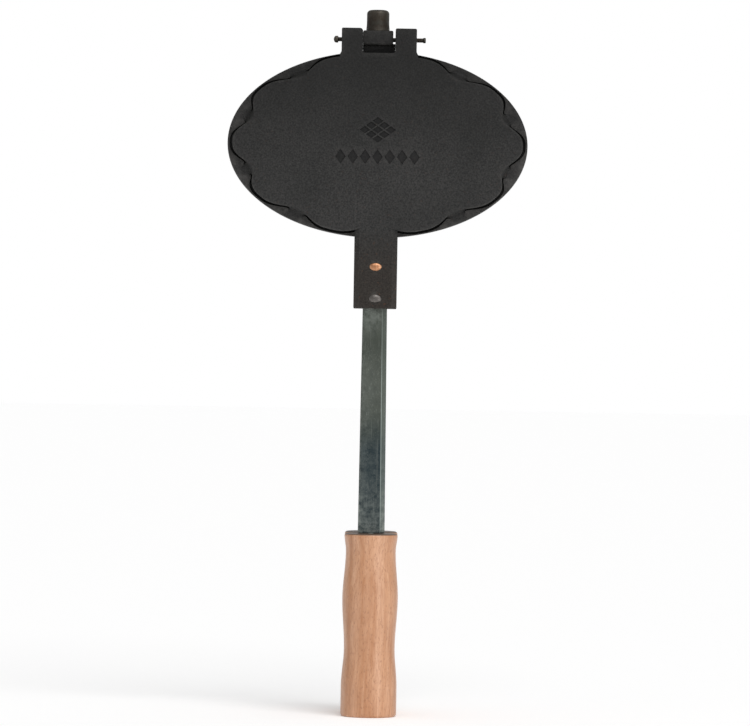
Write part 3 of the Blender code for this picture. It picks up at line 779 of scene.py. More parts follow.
@dataclass(frozen=True)
class Beech(Finish):
    """Oiled beech, with its grain along the grip, short flecks, dark end grain and painted shade in concave
    corners.
    """

    top: float = 0.121
    end_fade: Spot = (-0.0012, -0.0004)

    def surface(self, board: Board, where: object, effects: Effects) -> Layers:
        """Lay the finish's own nodes."""
        drift = board.lay("TexNoise", {"Vector": where, "Scale": 9.0}).outputs["Color"]
        offset = board.lay("VectorMath", {0: drift, "Scale": 0.010}, operation="SCALE").outputs[0]
        warped = board.lay("VectorMath", {0: where, 1: offset}, operation="ADD").outputs[0]
        bands = board.streaks(warped, (190.0, 190.0, 6.0), 3.0, 0.6, (0.34, 0.66))
        fibre = board.streaks(warped, (1300.0, 1300.0, 110.0), 3.0, 0.65, (0.34, 0.66))
        fleck = board.streaks(warped, (1250.0, 1250.0, 400.0), 1.0, 0.5, (0.60, 0.68))
        broad = board.streaks(where, (70.0, 70.0, 26.0), 4.0, 0.6, (0.36, 0.64))
        base = board.blend(bands, tone(172, 117, 77), tone(210, 164, 132))
        shaded = board.blend(board.times(broad, 0.5), base, tone(214, 164, 128))
        fibred = board.blend(board.times(fibre, 0.40), shaded, tone(160, 106, 70))
        flecked = board.blend(board.times(fleck, 0.38), fibred, tone(140, 90, 60))
        # Painted shade: concave corners are darkened below.
        corner_shade = effects.wear.on(board, where, Amount=0.5)["Corners"]
        end = board.fade(self.top, self.end_fade)
        darkened = board.blend(board.times(end, 0.92), flecked, tone(66, 54, 44))
        corner_shaded = board.blend(board.times(corner_shade, 0.6), darkened, tone(70, 50, 36))
        height = board.minus(board.times(fibre, 0.6), fleck)
        return corner_shaded, board.span(fibre, 0.0, 1.0, 0.30, 0.46), height, 0.00007


@dataclass(frozen=True)
class Paper(Finish):
    """The pale floor, with a faint tooth."""

    def surface(self, board: Board, where: object, effects: Effects) -> Layers:
        """Lay the finish's own nodes."""
        tooth = board.noise(where, 700.0, 2.0)
        colour = board.blend(tooth, (0.95, 0.95, 0.95, 1.0), (0.97, 0.97, 0.97, 1.0))
        return colour, board.span(tooth, 0.0, 1.0, 0.86, 0.92), tooth, 0.00003


class Paint:
    """All finishes, each made once, and the way a piece gets one."""

    FINISHES = (
        CastIron("cast_iron_seasoned", "cast_iron", 0.0, 0.20),
        ScaledSteel("steel_under_scale", "scaled_steel", 0.15, 0.30),
        BareMetal("copper_rivet", "copper", 1.0, clean=tone(190, 136, 100), stained=tone(124, 80, 56),
                  edge=tone(222, 180, 148), stain=0.6, rough=(0.34, 0.5), lumps=0.00008),
        BareMetal("steel_rivet", "rivet_steel", 0.9, clean=tone(104, 99, 96), stained=tone(58, 54, 51),
                  edge=tone(156, 152, 148), stain=0.6, rough=(0.36, 0.52), lumps=0.00008),
        BareMetal("bare_steel_tarnished", "bare_steel", 0.75, 0.45, clean=tone(58, 56, 51),
                  stained=tone(46, 36, 28), edge=tone(102, 97, 89), stain=0.75, rough=(0.42, 0.58),
                  lumps=0.00006),
        Beech("beech_oiled", "beech", 0.0, 0.40, coat=0.30),
        BareMetal("zinc_plate", "plated_steel", 1.0, clean=tone(196, 198, 200), stained=tone(150, 152, 156),
                  edge=tone(226, 228, 230), stain=0.5, rough=(0.28, 0.4), lumps=0.00002),
        Paper("floor_paper", "", 0.0, 0.1, glow=0.16),
    )

    def __init__(self) -> None:
        """Make the materials."""
        effects = Effects.build()
        self.made = {finish.slot: finish.make(effects) for finish in self.FINISHES}

    def dress(self, item: Piece, slot: str) -> None:
        """Give a piece the finish of a slot."""
        item.data.materials.clear()
        item.data.materials.append(self.made[slot])

    def hand_over(self, item: Piece, slot: str, body: str, *nodes: str) -> None:
        """Shade and dress a piece, and let it ride on a body in place of its CAD nodes.

        Args:
            item: The finished piece.
            slot: The record's material slot.
            body: The CAD body that carries it.
            nodes: The CAD nodes it stands for.
        """
        Bench.smooth(item)
        self.dress(item, slot)
        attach(item, body)
        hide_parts(*nodes)
        LOG.info("%s: %d faces, rides on %s", item.name, len(item.data.polygons), body)

    def hand_over_pair(self, front: Piece, slot: str, node: str) -> None:
        """Hand over a front piece, and its turned copy for the rear half.

        Args:
            front: The front piece, with "front" in its name.
            slot: The record's material slot.
            node: The CAD nodes' name without their half.
        """
        rear = Bench.rear_copy(front, front.name.replace(Side.FRONT.word, Side.REAR.word))
        for item, side in ((front, Side.FRONT), (rear, Side.REAR)):
            self.hand_over(item, slot, side.value, f"{side.word}_{node}")


# ---------------------------------------------------------------- castings

@dataclass
class Plates:
    """The two castings: a lobed panel on an oval ring, with the baking recess, lug and hinge.

    PANEL_RINGS runs from the crevice to the panel's face. A row says how far that ring of the loft
    lies outside the lobed outline and in front of the oval ring's face, first at a lobe's middle and
    then in a valley, and its share of the crevice's depth. The first OUTER_RINGS rows are the
    crevice's outer side, which is also moved out by the crevice's width and spread.
    """

    PANEL_RINGS = (
        (0.00012, 0.0, 0.0056, 0.0, 0.0), (0.00006, 0.0, 0.0052, 0.0, 0.5),
        (0.0, 0.0, 0.0048, 0.00006, 0.95), (0.00060, 0.0, 0.0044, 0.00016, 1.0),
        (0.00022, 0.0, 0.0038, 0.0004, 0.95), (0.00020, 0.0010, 0.0031, 0.0010, 0.2),
        (0.00017, 0.0024, 0.0024, 0.0019, 0.0), (0.00013, 0.0042, 0.0017, 0.0031, 0.0),
        (0.00010, 0.0055, 0.0011, 0.0043, 0.0), (0.00006, 0.0063, 0.0005, 0.0054, 0.0),
        (-0.00002, 0.00668, -0.0001, 0.0062, 0.0), (-0.00022, 0.00690, -0.0008, 0.0067, 0.0),
        (-0.00060, 0.00700, -0.0017, 0.0070, 0.0), (-0.00180, 0.00700, -0.0034, 0.0070, 0.0),
    )
    OUTER_RINGS = 3
    width: float = 0.2000
    height: float = 0.1244
    depth: float = 0.0120
    ring_depth: float = 0.0050
    parting: float = 0.00006
    lobes: int = 10
    points_per_lobe: int = 32
    rim: Spot = (0.0036, 0.0023)
    scallop: Spot = (0.0086, 0.0054)
    rim_round: float = 0.0003
    crevice: float = 0.0034
    crevice_width: float = 0.0008
    crevice_spread: float = 0.34
    recess_rim: float = 0.0060
    recess_step: float = 0.0008
    recess_depth: float = 0.0019
    rib_width: float = 0.0013
    rib_pitch: float = 0.0150
    rib_drop: float = 0.0007
    smallest_cell: float = 0.000004
    cell_inset: float = 0.0003
    score_rows: int = 46
    score_columns: int = 24
    lug_half: float = 0.01435
    lug_back: float = 0.0010
    lug_chamfer: Spot = (0.0032, 0.0020)
    lug_root: float = 0.0110
    channel_half: float = 0.0084
    channel_front: float = 0.0092
    proud: float = 0.00002
    sunk: float = 0.00005
    dive: float = 0.00009
    ears_half: float = 0.02495
    ear_flare: float = 0.0009
    ear_radius: float = 0.0070
    slot_half: float = 0.0108
    slot_floor: float = 0.0095
    hinge_root: float = 0.0120
    pin_bore: float = 0.0015
    knuckle_low: Place = (-0.01074, -0.0072, -0.0042)
    knuckle_high: Place = (0.0093, 0.0120, 0.0058)
    neck_half: float = 0.01076
    neck_shoulder: float = 0.0026
    rivet_bore: float = 0.0024
    spigot_bore: float = 0.0043
    bar_clearance: float = 0.0009
    channel_clearance: float = 0.0003
    notch_clearance: float = 0.0006
    motif_depth: float = 0.00065
    foot: float = field(init=False)
    lug_foot: float = field(init=False)
    centre: float = field(init=False)
    axis: float = field(init=False)

    def __post_init__(self) -> None:
        """Take the heights from the CAD nodes' boxes."""
        self.lug_foot = foot_of("front_plate")
        self.axis = middle("hinge_pin").z
        self.foot = top_of("front_bar") + self.bar_clearance
        self.centre = self.foot + self.height / 2

    def wave(self, angle: float) -> float:
        """How far an angle is towards a valley: 0 at a lobe's middle, 1 at a valley's."""
        return abs(math.sin(self.lobes / 2 * angle)) ** 3

    def oval(self, inset: float, level: float) -> Ring:
        """A ring of the plate's plain oval, moved in by inset."""
        count = self.lobes * self.points_per_lobe
        return [((self.width / 2 - inset) * x, level, self.centre + (self.height / 2 - inset) * z)
                for x, z in circle(1.0, count)]

    def lobed(self, lobe: Spot, valley: Spot, crevice: float = 0.0, spread: float = 0.0) -> Ring:
        """A ring of the lobed outline.

        Args:
            lobe: How far outside the outline the ring lies at the lobes, and its y there.
            valley: The same in the valleys.
            crevice: How much deeper the ring lies at the lobes, fading out before the valleys.
            spread: How much further out it lies at the lobes, as a share of the rim there.

        Returns:
            The ring.
        """
        ring = []
        count = self.lobes * self.points_per_lobe
        for number in range(count):
            angle = math.tau * number / count
            wave = self.wave(angle)
            soft = ease((wave - 0.74) / 0.26)
            out = mix(lobe[0], valley[0], soft)
            level = mix(lobe[1], valley[1], soft) + crevice * ease((0.84 - wave) / 0.20)
            wider = spread * ease((0.9 - wave) / 0.9)
            half_width = self.width / 2 - self.rim[0] * (1.0 - wider) - self.scallop[0] * wave + out
            half_height = self.height / 2 - self.rim[1] * (1.0 - wider) - self.scallop[1] * wave + out
            ring.append((half_width * math.cos(angle), level,
                         self.centre + half_height * math.sin(angle)))
        return ring

    def disc(self) -> Piece:
        """The ring and panel in one loft, from the recess round the rim to the panel's face."""
        back, flange, inner, floor = -self.parting, -self.ring_depth, -self.recess_rim, -self.rib_drop
        rings = [self.lobed((out, level), (out, level)) for out, level in (
            (inner - self.recess_step, floor), (inner - 0.0003, floor), (inner - 0.0001, floor + 0.0001),
            (inner, back - 0.0002), (inner + 0.0002, back), (inner + 0.0012, back))]
        rise = self.rim_round
        rings += [self.oval(inset, level) for inset, level in (
            (0.0012, back), (rise, back), (rise * 0.3, back - rise * 0.3), (0.0, back - rise),
            (0.00018, flange + 0.0008), (0.00023, flange + 0.0004), (0.00034, flange + 0.00012),
            (0.00046, flange))]
        for number, (lobe, lobe_rise, valley, valley_rise, sunk) in enumerate(self.PANEL_RINGS):
            outer = number < self.OUTER_RINGS
            wide = self.crevice_width if outer else 0.0
            rings.append(self.lobed((lobe + wide, flange - lobe_rise), (valley, flange - valley_rise),
                                    self.crevice * sunk, self.crevice_spread if outer else 0.0))
        return Bench.loft("casting_disc", rings)

    def sink_cells(self, item: Piece) -> None:
        """Score the recess's floor along the ribs, and sink the cells between them."""
        floor = -self.rib_drop

        def is_floor(face: bmesh.types.BMFace) -> bool:
            """Whether a face is the recess's floor, the many-sided one at that depth."""
            return len(face.verts) > self.lobes * 10 and abs(face.calc_center_median().y - floor) < NEAR

        Bench.start_editing(item)
        Bench.pick(item, Kind.FACES, is_floor)
        Bench.mark_picked(item, 1)
        turns = (math.radians(45.0), math.radians(-45.0))
        reach = math.ceil(self.width / 2 / self.rib_pitch) + 1
        for turn in turns:
            normal = Vector((-math.sin(turn), 0.0, math.cos(turn)))
            for number in range(-reach, reach + 1):
                for edge in (-0.5, 0.5):
                    across = number * self.rib_pitch + edge * self.rib_width
                    Bench.pick(item, Kind.FACES, lambda face: face.material_index == 1)
                    bpy.ops.mesh.bisect(plane_co=Vector((0.0, floor, self.centre)) + normal * across,
                                        plane_no=normal)

        def is_cell(face: bmesh.types.BMFace) -> bool:
            """Whether a face lies between the ribs and is large enough to sink."""
            if face.material_index != 1 or face.calc_area() < self.smallest_cell:
                return False
            spot = face.calc_center_median()
            for turn in turns:
                across = (spot.z - self.centre) * math.cos(turn) - spot.x * math.sin(turn)
                if abs(across - self.rib_pitch * round(across / self.rib_pitch)) < self.rib_width / 2:
                    return False
            return True

        Bench.pick(item, Kind.FACES, is_cell)
        bpy.ops.mesh.inset(thickness=self.cell_inset, depth=self.rib_drop - self.recess_depth,
                           use_individual=True)
        Bench.mark_picked(item, 0)
        Bench.stop_editing()

    def score_face(self, item: Piece, outward: float) -> None:
        """Cut the flat outer face into squares, so that a worn edge shades only the metal beside it.

        Args:
            item: The casting.
            outward: Which way the face points along Y, -1 or 1.
        """
        Bench.start_editing(item)
        level = (self.depth - 0.0003) * outward
        low, high = self.lug_foot, self.axis + self.ear_radius
        rows, columns = self.score_rows, self.score_columns
        cuts = [(Vector((0.0, 0.0, 1.0)), mix(low, high, step / rows)) for step in range(1, rows)]
        cuts += [(Vector((1.0, 0.0, 0.0)), self.width / 2 * step / columns)
                 for step in range(1 - columns, columns)]
        for normal, across in cuts:
            Bench.pick(item, Kind.FACES, lambda face: face.normal.y * outward > 0.999
                       and (face.verts[0].co.y - level) * outward > 0)
            bpy.ops.mesh.bisect(plane_co=normal * across, plane_no=normal)
        Bench.stop_editing()

    def lug(self) -> Piece:
        """The block below the plate, with chamfered front corners."""
        face = -self.depth - self.proud
        across, along = self.lug_chamfer
        half = self.lug_half
        corners = [(-half, -self.lug_back), (-half, face + along), (-half + across, face),
                   (half - across, face), (half, face + along), (half, -self.lug_back)]
        outline = rounded(corners, (0.0006, 0.0009, 0.0009, 0.0009, 0.0009, 0.0006), 4)
        levels = ((self.lug_foot, 0.0), (self.foot, 0.0), (self.foot + self.lug_root, self.dive))
        item = Bench.loft("lug", [[(x, y + dive, z) for x, y in outline] for z, dive in levels])
        foot = self.lug_foot + NEAR
        Bench.bevel(item, 0.0007, 3, lambda a, b: a.z < foot and b.z < foot)
        return item

    def ears(self) -> Piece:
        """The two ears of the front casting, from their outline from the front and from the side."""
        top, root = self.axis + self.ear_radius, self.centre + self.height / 2 - self.hinge_root
        base = self.centre + self.height / 2 - 0.0005
        half, gap, floor = self.ears_half, self.slot_half, self.axis - self.slot_floor
        left = [(-half - self.ear_flare, root), (-half - self.ear_flare, base - 0.0022),
                (-half, base - 0.0004), (-half, top), (-gap, top), (-gap, floor)]
        corners = left + [(-x, z) for x, z in reversed(left)]
        radii = (0.0, 0.0, 0.0016, 0.0010, 0.0022, 0.0016, 0.0016, 0.0011, 0.0010, 0.0016, 0.0, 0.0)
        face = -self.depth - self.proud
        item = Bench.prism("ears", rounded(corners, radii, 6), face, self.depth, lambda x, z, y: (x, y, z))
        Bench.bevel(item, 0.0004, 3, lambda a, b: a.y < face + NEAR and b.y < face + NEAR
                    and max(a.z, b.z) > base)
        Bench.start_editing(item)
        bpy.ops.mesh.select_all(action="SELECT")
        bpy.ops.mesh.bisect(plane_co=(0.0, 0.0, base - 0.004), plane_no=(0.0, 0.0, 1.0))
        Bench.stop_editing()
        Bench.shift(item, (0.0, self.dive, 0.0), lambda spot: spot.z < root + NEAR and spot.y < 0.0)
        back = -self.parting - self.sunk
        corners = [(face - 0.001, root - 0.001), (face - 0.001, top), (0.0, top)]
        side = rounded(corners, (0.0, 0.0016, 0.0), 4)[:-1]
        for step in range(25):
            angle = math.pi / 2 - math.pi * step / 24
            side.append((self.ear_radius * math.cos(angle), self.axis + self.ear_radius * math.sin(angle)))
        side += [(back, self.axis - self.ear_radius), (back, root - 0.001)]
        shape = Bench.prism("ears_side", side, -half - 0.004, half + 0.004, lambda y, z, x: (x, y, z))
        Bench.join(item, shape, Joining.KEEP_COMMON)
        return item

    def pin_hole(self) -> Piece:
        """The hinge pin's hole as a rod."""
        reach = self.ears_half + THROUGH / 2
        return Bench.prism("pin_hole", circle(self.pin_bore, 32), -reach, reach,
                           lambda y, z, x: (x, y, self.axis + z))

    def motif(self) -> Piece:
        """A plain waffle of nine lozenges over a row of seven, as a cutter."""
        spots = [((i - j) * 0.0043, 0.0093 + (i + j) * 0.0030, 0.0036, 0.00250)
                 for i in (-1, 0, 1) for j in (-1, 0, 1)]
        spots += [(i * 0.0082, -0.0086, 0.0036, 0.0052) for i in range(-3, 4)]
        cutters = []
        for x, z, half_width, half_height in spots:
            rings = []
            for level, grow in ((-self.depth - 0.0002, 1.06), (-self.depth + self.motif_depth, 0.84)):
                corners = [(half_width * grow, 0.0), (0.0, half_height * grow),
                           (-half_width * grow, 0.0), (0.0, -half_height * grow)]
                rings.append([(x + a, level, self.centre + z + b) for a, b in rounded(corners, 0.0003, 3)])
            cutters.append(Bench.loft("lozenge", rings))
        return Bench.gather("motif", cutters)

    def build(self, paint: Paint) -> None:
        """Model both castings and hand them over.

        Args:
            paint: The finishes.
        """
        casting = self.disc()
        self.sink_cells(casting)
        Bench.join(casting, self.lug(), Joining.ADD)
        channel_top = top_of("front_bar") + self.channel_clearance
        channel = Bench.block("channel", (-self.channel_half, -self.channel_front, self.lug_foot - THROUGH),
                              (self.channel_half, self.depth, channel_top))
        Bench.join(casting, channel, Joining.CUT)
        Bench.bore_for_rivets(casting, self.rivet_bore)
        rear = Bench.rear_copy(casting, "rear_casting")
        self.finish_front(casting, paint)
        self.finish_rear(rear, paint)

    def finish_front(self, casting: Piece, paint: Paint) -> None:
        """Add the ears and the motif to the front casting, and hand it over."""
        casting.name = casting.data.name = "front_casting"
        top = self.centre + self.height / 2
        wide = self.slot_half + self.notch_clearance
        floor = self.axis - self.slot_floor - self.notch_clearance
        notch = Bench.block("notch", (-wide, -THROUGH, floor), (wide, THROUGH, top + 0.01))
        Bench.join(casting, notch, Joining.CUT)
        Bench.join(casting, self.ears(), Joining.ADD)
        Bench.join(casting, self.pin_hole(), Joining.CUT)
        Bench.join(casting, self.motif(), Joining.CUT)
        self.score_face(casting, -1.0)
        paint.hand_over(casting, "cast_iron", Side.FRONT.value, "front_plate")

    def finish_rear(self, casting: Piece, paint: Paint) -> None:
        """Add the neck and knuckle to the rear casting, and hand it over."""
        top = self.centre + self.height / 2
        front, back = self.parting + self.sunk, self.depth - self.sunk
        neck = Bench.block("neck", (-self.neck_half, front, top - self.hinge_root),
                           (self.neck_half, back, self.axis - self.neck_shoulder))
        Bench.bevel(neck, 0.0008, 3, lambda a, b: abs(a.z - b.z) > 0.001 and a.y > 0.006)
        low, high = self.knuckle_low, self.knuckle_high
        knuckle = Bench.block("knuckle", (low[0], low[1], self.axis + low[2]),
                              (high[0], high[1], self.axis + high[2]))
        foot = self.axis + low[2] + NEAR
        Bench.bevel(knuckle, 0.0011, 4, lambda a, b: min(a.z, b.z) > self.axis)
        Bench.bevel(knuckle, 0.0021, 5, lambda a, b: a.z < foot and b.z < foot and a.y < 0 and b.y < 0)
        Bench.bevel(knuckle, 0.0003, 2, lambda a, b: abs(a.z - b.z) > 0.003)
        Bench.join(casting, neck, Joining.ADD)
        Bench.join(casting, knuckle, Joining.ADD)
        Bench.join(casting, self.pin_hole(), Joining.CUT)
        spot = middle("end_stud")
        socket = Bench.prism("spigot_hole", circle(self.spigot_bore, 32), foot_of("end_stud") - 0.0003,
                             top_of("end_stud"), lambda x, y, z: (spot.x + x, spot.y + y, z))
        Bench.join(casting, socket, Joining.CUT)
        self.score_face(casting, 1.0)
        paint.hand_over(casting, "cast_iron", Side.REAR.value, "rear_plate")


# ---------------------------------------------------------------- hinge

@dataclass
class Hinge:
    """The loose pin through the ears and knuckle, and the round stud on the knuckle."""

    pin_radius: float = 0.0014
    head_radius: float = 0.0023
    head_length: float = 0.0030
    peen_radius: float = 0.0018
    peen_length: float = 0.0016
    stud_radius: float = 0.0078
    stud_waist: float = 0.00745
    stud_edge: float = 0.0026
    spigot_radius: float = 0.0040
    spigot_length: float = 0.0025

    def pin(self) -> Piece:
        """The pin, with a domed head at its left end and a hammered end at its right."""
        low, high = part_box("hinge_pin")
        axis = middle("hinge_pin")
        dome = self.head_length * 0.55
        stations = [(low[0] + dome * rounding(turn)[0], self.head_radius * math.sin(math.radians(turn)))
                    for turn in (8, 22, 38, 55, 72, 88)]
        neck = low[0] + self.head_length
        stations += [(neck - 0.0003, self.head_radius), (neck, self.head_radius - 0.0003),
                     (neck, self.pin_radius + 0.0002), (neck + 0.0003, self.pin_radius)]
        end = high[0] - self.peen_length
        stations += [(end - 0.0004, self.pin_radius), (end, self.peen_radius - 0.0001),
                     (end + 0.0003, self.peen_radius), (high[0] - 0.0004, self.peen_radius),
                     (high[0] - 0.0001, self.peen_radius - 0.0003), (high[0], self.peen_radius - 0.0008)]
        rings = [[(x, axis.y + y, axis.z + z) for y, z in circle(radius, 32)] for x, radius in stations]
        return Bench.loft("pin_with_head", rings)

    def stud(self) -> Piece:
        """The stud, with a rounded top edge, a slight flare and a spigot in the knuckle."""
        low, top = foot_of("end_stud"), top_of("end_stud")
        foot = low + self.spigot_length + TOUCH
        radius, waist, edge = self.stud_radius, self.stud_waist, self.stud_edge
        profile = [(self.spigot_radius - 0.0004, low), (self.spigot_radius, low + 0.0004),
                   (self.spigot_radius, foot), (radius - 0.0004, foot), (radius - 0.0001, foot + 0.0002),
                   (radius, foot + 0.0006), (radius - 0.00008, foot + 0.0024),
                   (waist + 0.00016, foot + 0.0034), (waist + 0.00004, foot + 0.0048),
                   (waist, foot + 0.0070)]
        profile += [(waist - edge * inward, top - edge * down)
                    for inward, down in map(rounding, (0, 15, 30, 45, 60, 75, 86))]
        profile.append((waist - edge - 0.0012, top))
        return Bench.turned("round_stud", middle("end_stud"), profile, 64)

    def build(self, paint: Paint) -> None:
        """Model the pin and the stud, and hand them over."""
        paint.hand_over(self.pin(), "bare_steel", "hinge_pin", "hinge_pin")
        paint.hand_over(self.stud(), "bare_steel", Side.REAR.value, "end_stud")


# ---------------------------------------------------------------- bars and rivets

@dataclass
class Bars:
    """The two flat bars, each bent out below its lug, with a threaded tang in its grip."""

    thickness: float = 0.0050
    top_width: float = 0.0162
    foot_width: float = 0.0178
    edge: float = 0.0012
    flat: Spot = (0.0030, 0.0015)
    bend_below_lug: float = 0.0200
    bend_length: float = 0.0600
    tang_radius: float = 0.0030
    rivet_bore: float = 0.0024
    thread_pitch: float = 0.0008
    thread_depth: float = 0.00035
    lug_centre: float = -0.0064

    def centre(self, height: float, bend_top: float, start: float, end: float) -> float:
        """The bar's y at a height: straight in the lug, bent out to the grip's axis below it."""
        return mix(start, end, ease((bend_top - height) / self.bend_length))

    def blade(self) -> list[Ring]:
        """The front bar's rings, from its top in the lug to its end in the grip."""
        lug_foot, grip_top = foot_of("front_plate"), top_of("front_grip")
        start, end = self.lug_centre, middle("front_grip").y
        bend_top = lug_foot - self.bend_below_lug
        top = top_of("front_bar")
        heights = [top, top - 0.0012, lug_foot, bend_top]
        heights += [bend_top - self.bend_length * step / 32 for step in range(1, 33)]
        heights += [grip_top + 0.030, grip_top + 0.0012, grip_top + 0.0003]
        rings = []
        for height in heights:
            step = 0.0001
            slope = (self.centre(height + step, bend_top, start, end)
                     - self.centre(height - step, bend_top, start, end)) / (2 * step)
            across = Vector((1.0, -slope)).normalized()
            share = min(max((lug_foot - height) / (lug_foot - grip_top), 0.0), 1.0)
            shrink = 0.0005 if height in (heights[0], heights[-1]) else 0.0
            half = mix(self.top_width, self.foot_width, share) / 2 - shrink
            thick = self.thickness / 2 - shrink
            corners = [(half, thick), (-half, thick), (-half, -thick), (half - self.flat[0], -thick),
                       (half, self.flat[1] - thick)]
            section = rounded(corners, (self.edge, self.edge, self.edge, 0.0022, 0.0006), 6)
            middle_y = self.centre(height, bend_top, start, end)
            rings.append([(x, middle_y + y * across.x, height + y * across.y) for x, y in section])
        return rings

    def tang(self, count: int) -> list[Ring]:
        """The front tang's rings, threaded from the washer down.

        Args:
            count: Points in each ring, as many as in the bar's.

        Returns:
            The rings.
        """
        low, thread_top = foot_of("front_bar"), top_of("front_grip_washer")
        levels = [(top_of("front_grip") + 0.0003, 0.0), (thread_top, 0.0)]
        turns = int((thread_top - low - 0.0006) / self.thread_pitch)
        for number in range(turns):
            level = thread_top - self.thread_pitch * (number + 0.4)
            levels += [(level, self.thread_depth), (level - self.thread_pitch * 0.5, 0.0)]
        levels += [(low + 0.0005, 0.0), (low, 0.0006)]
        phase = math.atan2(self.thickness, self.foot_width)
        end = middle("front_grip").y
        return [[(x, end + y, level) for x, y in circle(self.tang_radius - inset, count, phase)]
                for level, inset in levels]

    def bar(self) -> Piece:
        """The front bar, lofted down its length into the tang."""
        rings = self.blade()
        item = Bench.loft("front_flat_bar", rings + self.tang(len(rings[0])))
        Bench.bore_for_rivets(item, self.rivet_bore)
        return item

    def build(self, paint: Paint) -> None:
        """Model the bars and hand them over."""
        paint.hand_over_pair(self.bar(), "scaled_steel", "bar")


@dataclass
class Rivets:
    """The four rivets: an oval hammered head on the lug and a bucked one behind the bar."""

    radius: float = 0.0021
    head_width: float = 0.0083
    head_height: float = 0.0054
    head_rise: float = 0.0013
    lug_face: float = 0.0120
    bar_back: float = 0.0039
    points: int = 40

    def head(self, level: float, rise: float, phase: float) -> list[tuple[list[Spot], float]]:
        """Sections of a hammered head, from its foot to its top.

        Args:
            level: The y of the head's foot.
            rise: How far it rises, with its direction.
            phase: Turns the hammer marks.

        Returns:
            Pairs of a section's points and its y.
        """
        sections = []
        steps = [math.tau * number / self.points for number in range(self.points)]
        dents = [1.0 + 0.022 * math.sin(3 * step + phase) + 0.014 * math.sin(5 * step + 2.3 * phase)
                 for step in steps]
        for turn in (0, 10, 24, 38, 52, 66, 78, 86):
            angle = math.radians(turn)
            radius = self.head_width / 2 * math.cos(angle) ** 0.9
            points = circle(radius, self.points, 0.0, self.head_height / self.head_width)
            sections.append(([(x * dent, z * dent) for (x, z), dent in zip(points, dents)],
                             level + rise * math.sin(angle)))
        return sections

    def rivet(self, place: str, phase: float) -> Piece:
        """One front rivet, at its CAD node's height."""
        height = middle(f"front_{place}_rivet").z
        shank = circle(self.radius, self.points)
        sections = list(reversed(self.head(-self.lug_face - TOUCH, -self.head_rise, phase)))
        sections += [(shank, -self.lug_face - TOUCH), (shank, -self.bar_back + TOUCH)]
        sections += self.head(-self.bar_back + TOUCH, self.head_rise, phase + 1.7)
        rings = [[(x, y, height + z) for x, z in points] for points, y in sections]
        return Bench.loft(f"front_{place}_hammered_rivet", rings)

    def build(self, paint: Paint) -> None:
        """Model the rivets and hand them over."""
        for place, slot, phase in (("upper", "copper", 0.6), ("lower", "rivet_steel", 2.4)):
            paint.hand_over_pair(self.rivet(place, phase), slot, f"{place}_rivet")


# ---------------------------------------------------------------- grips

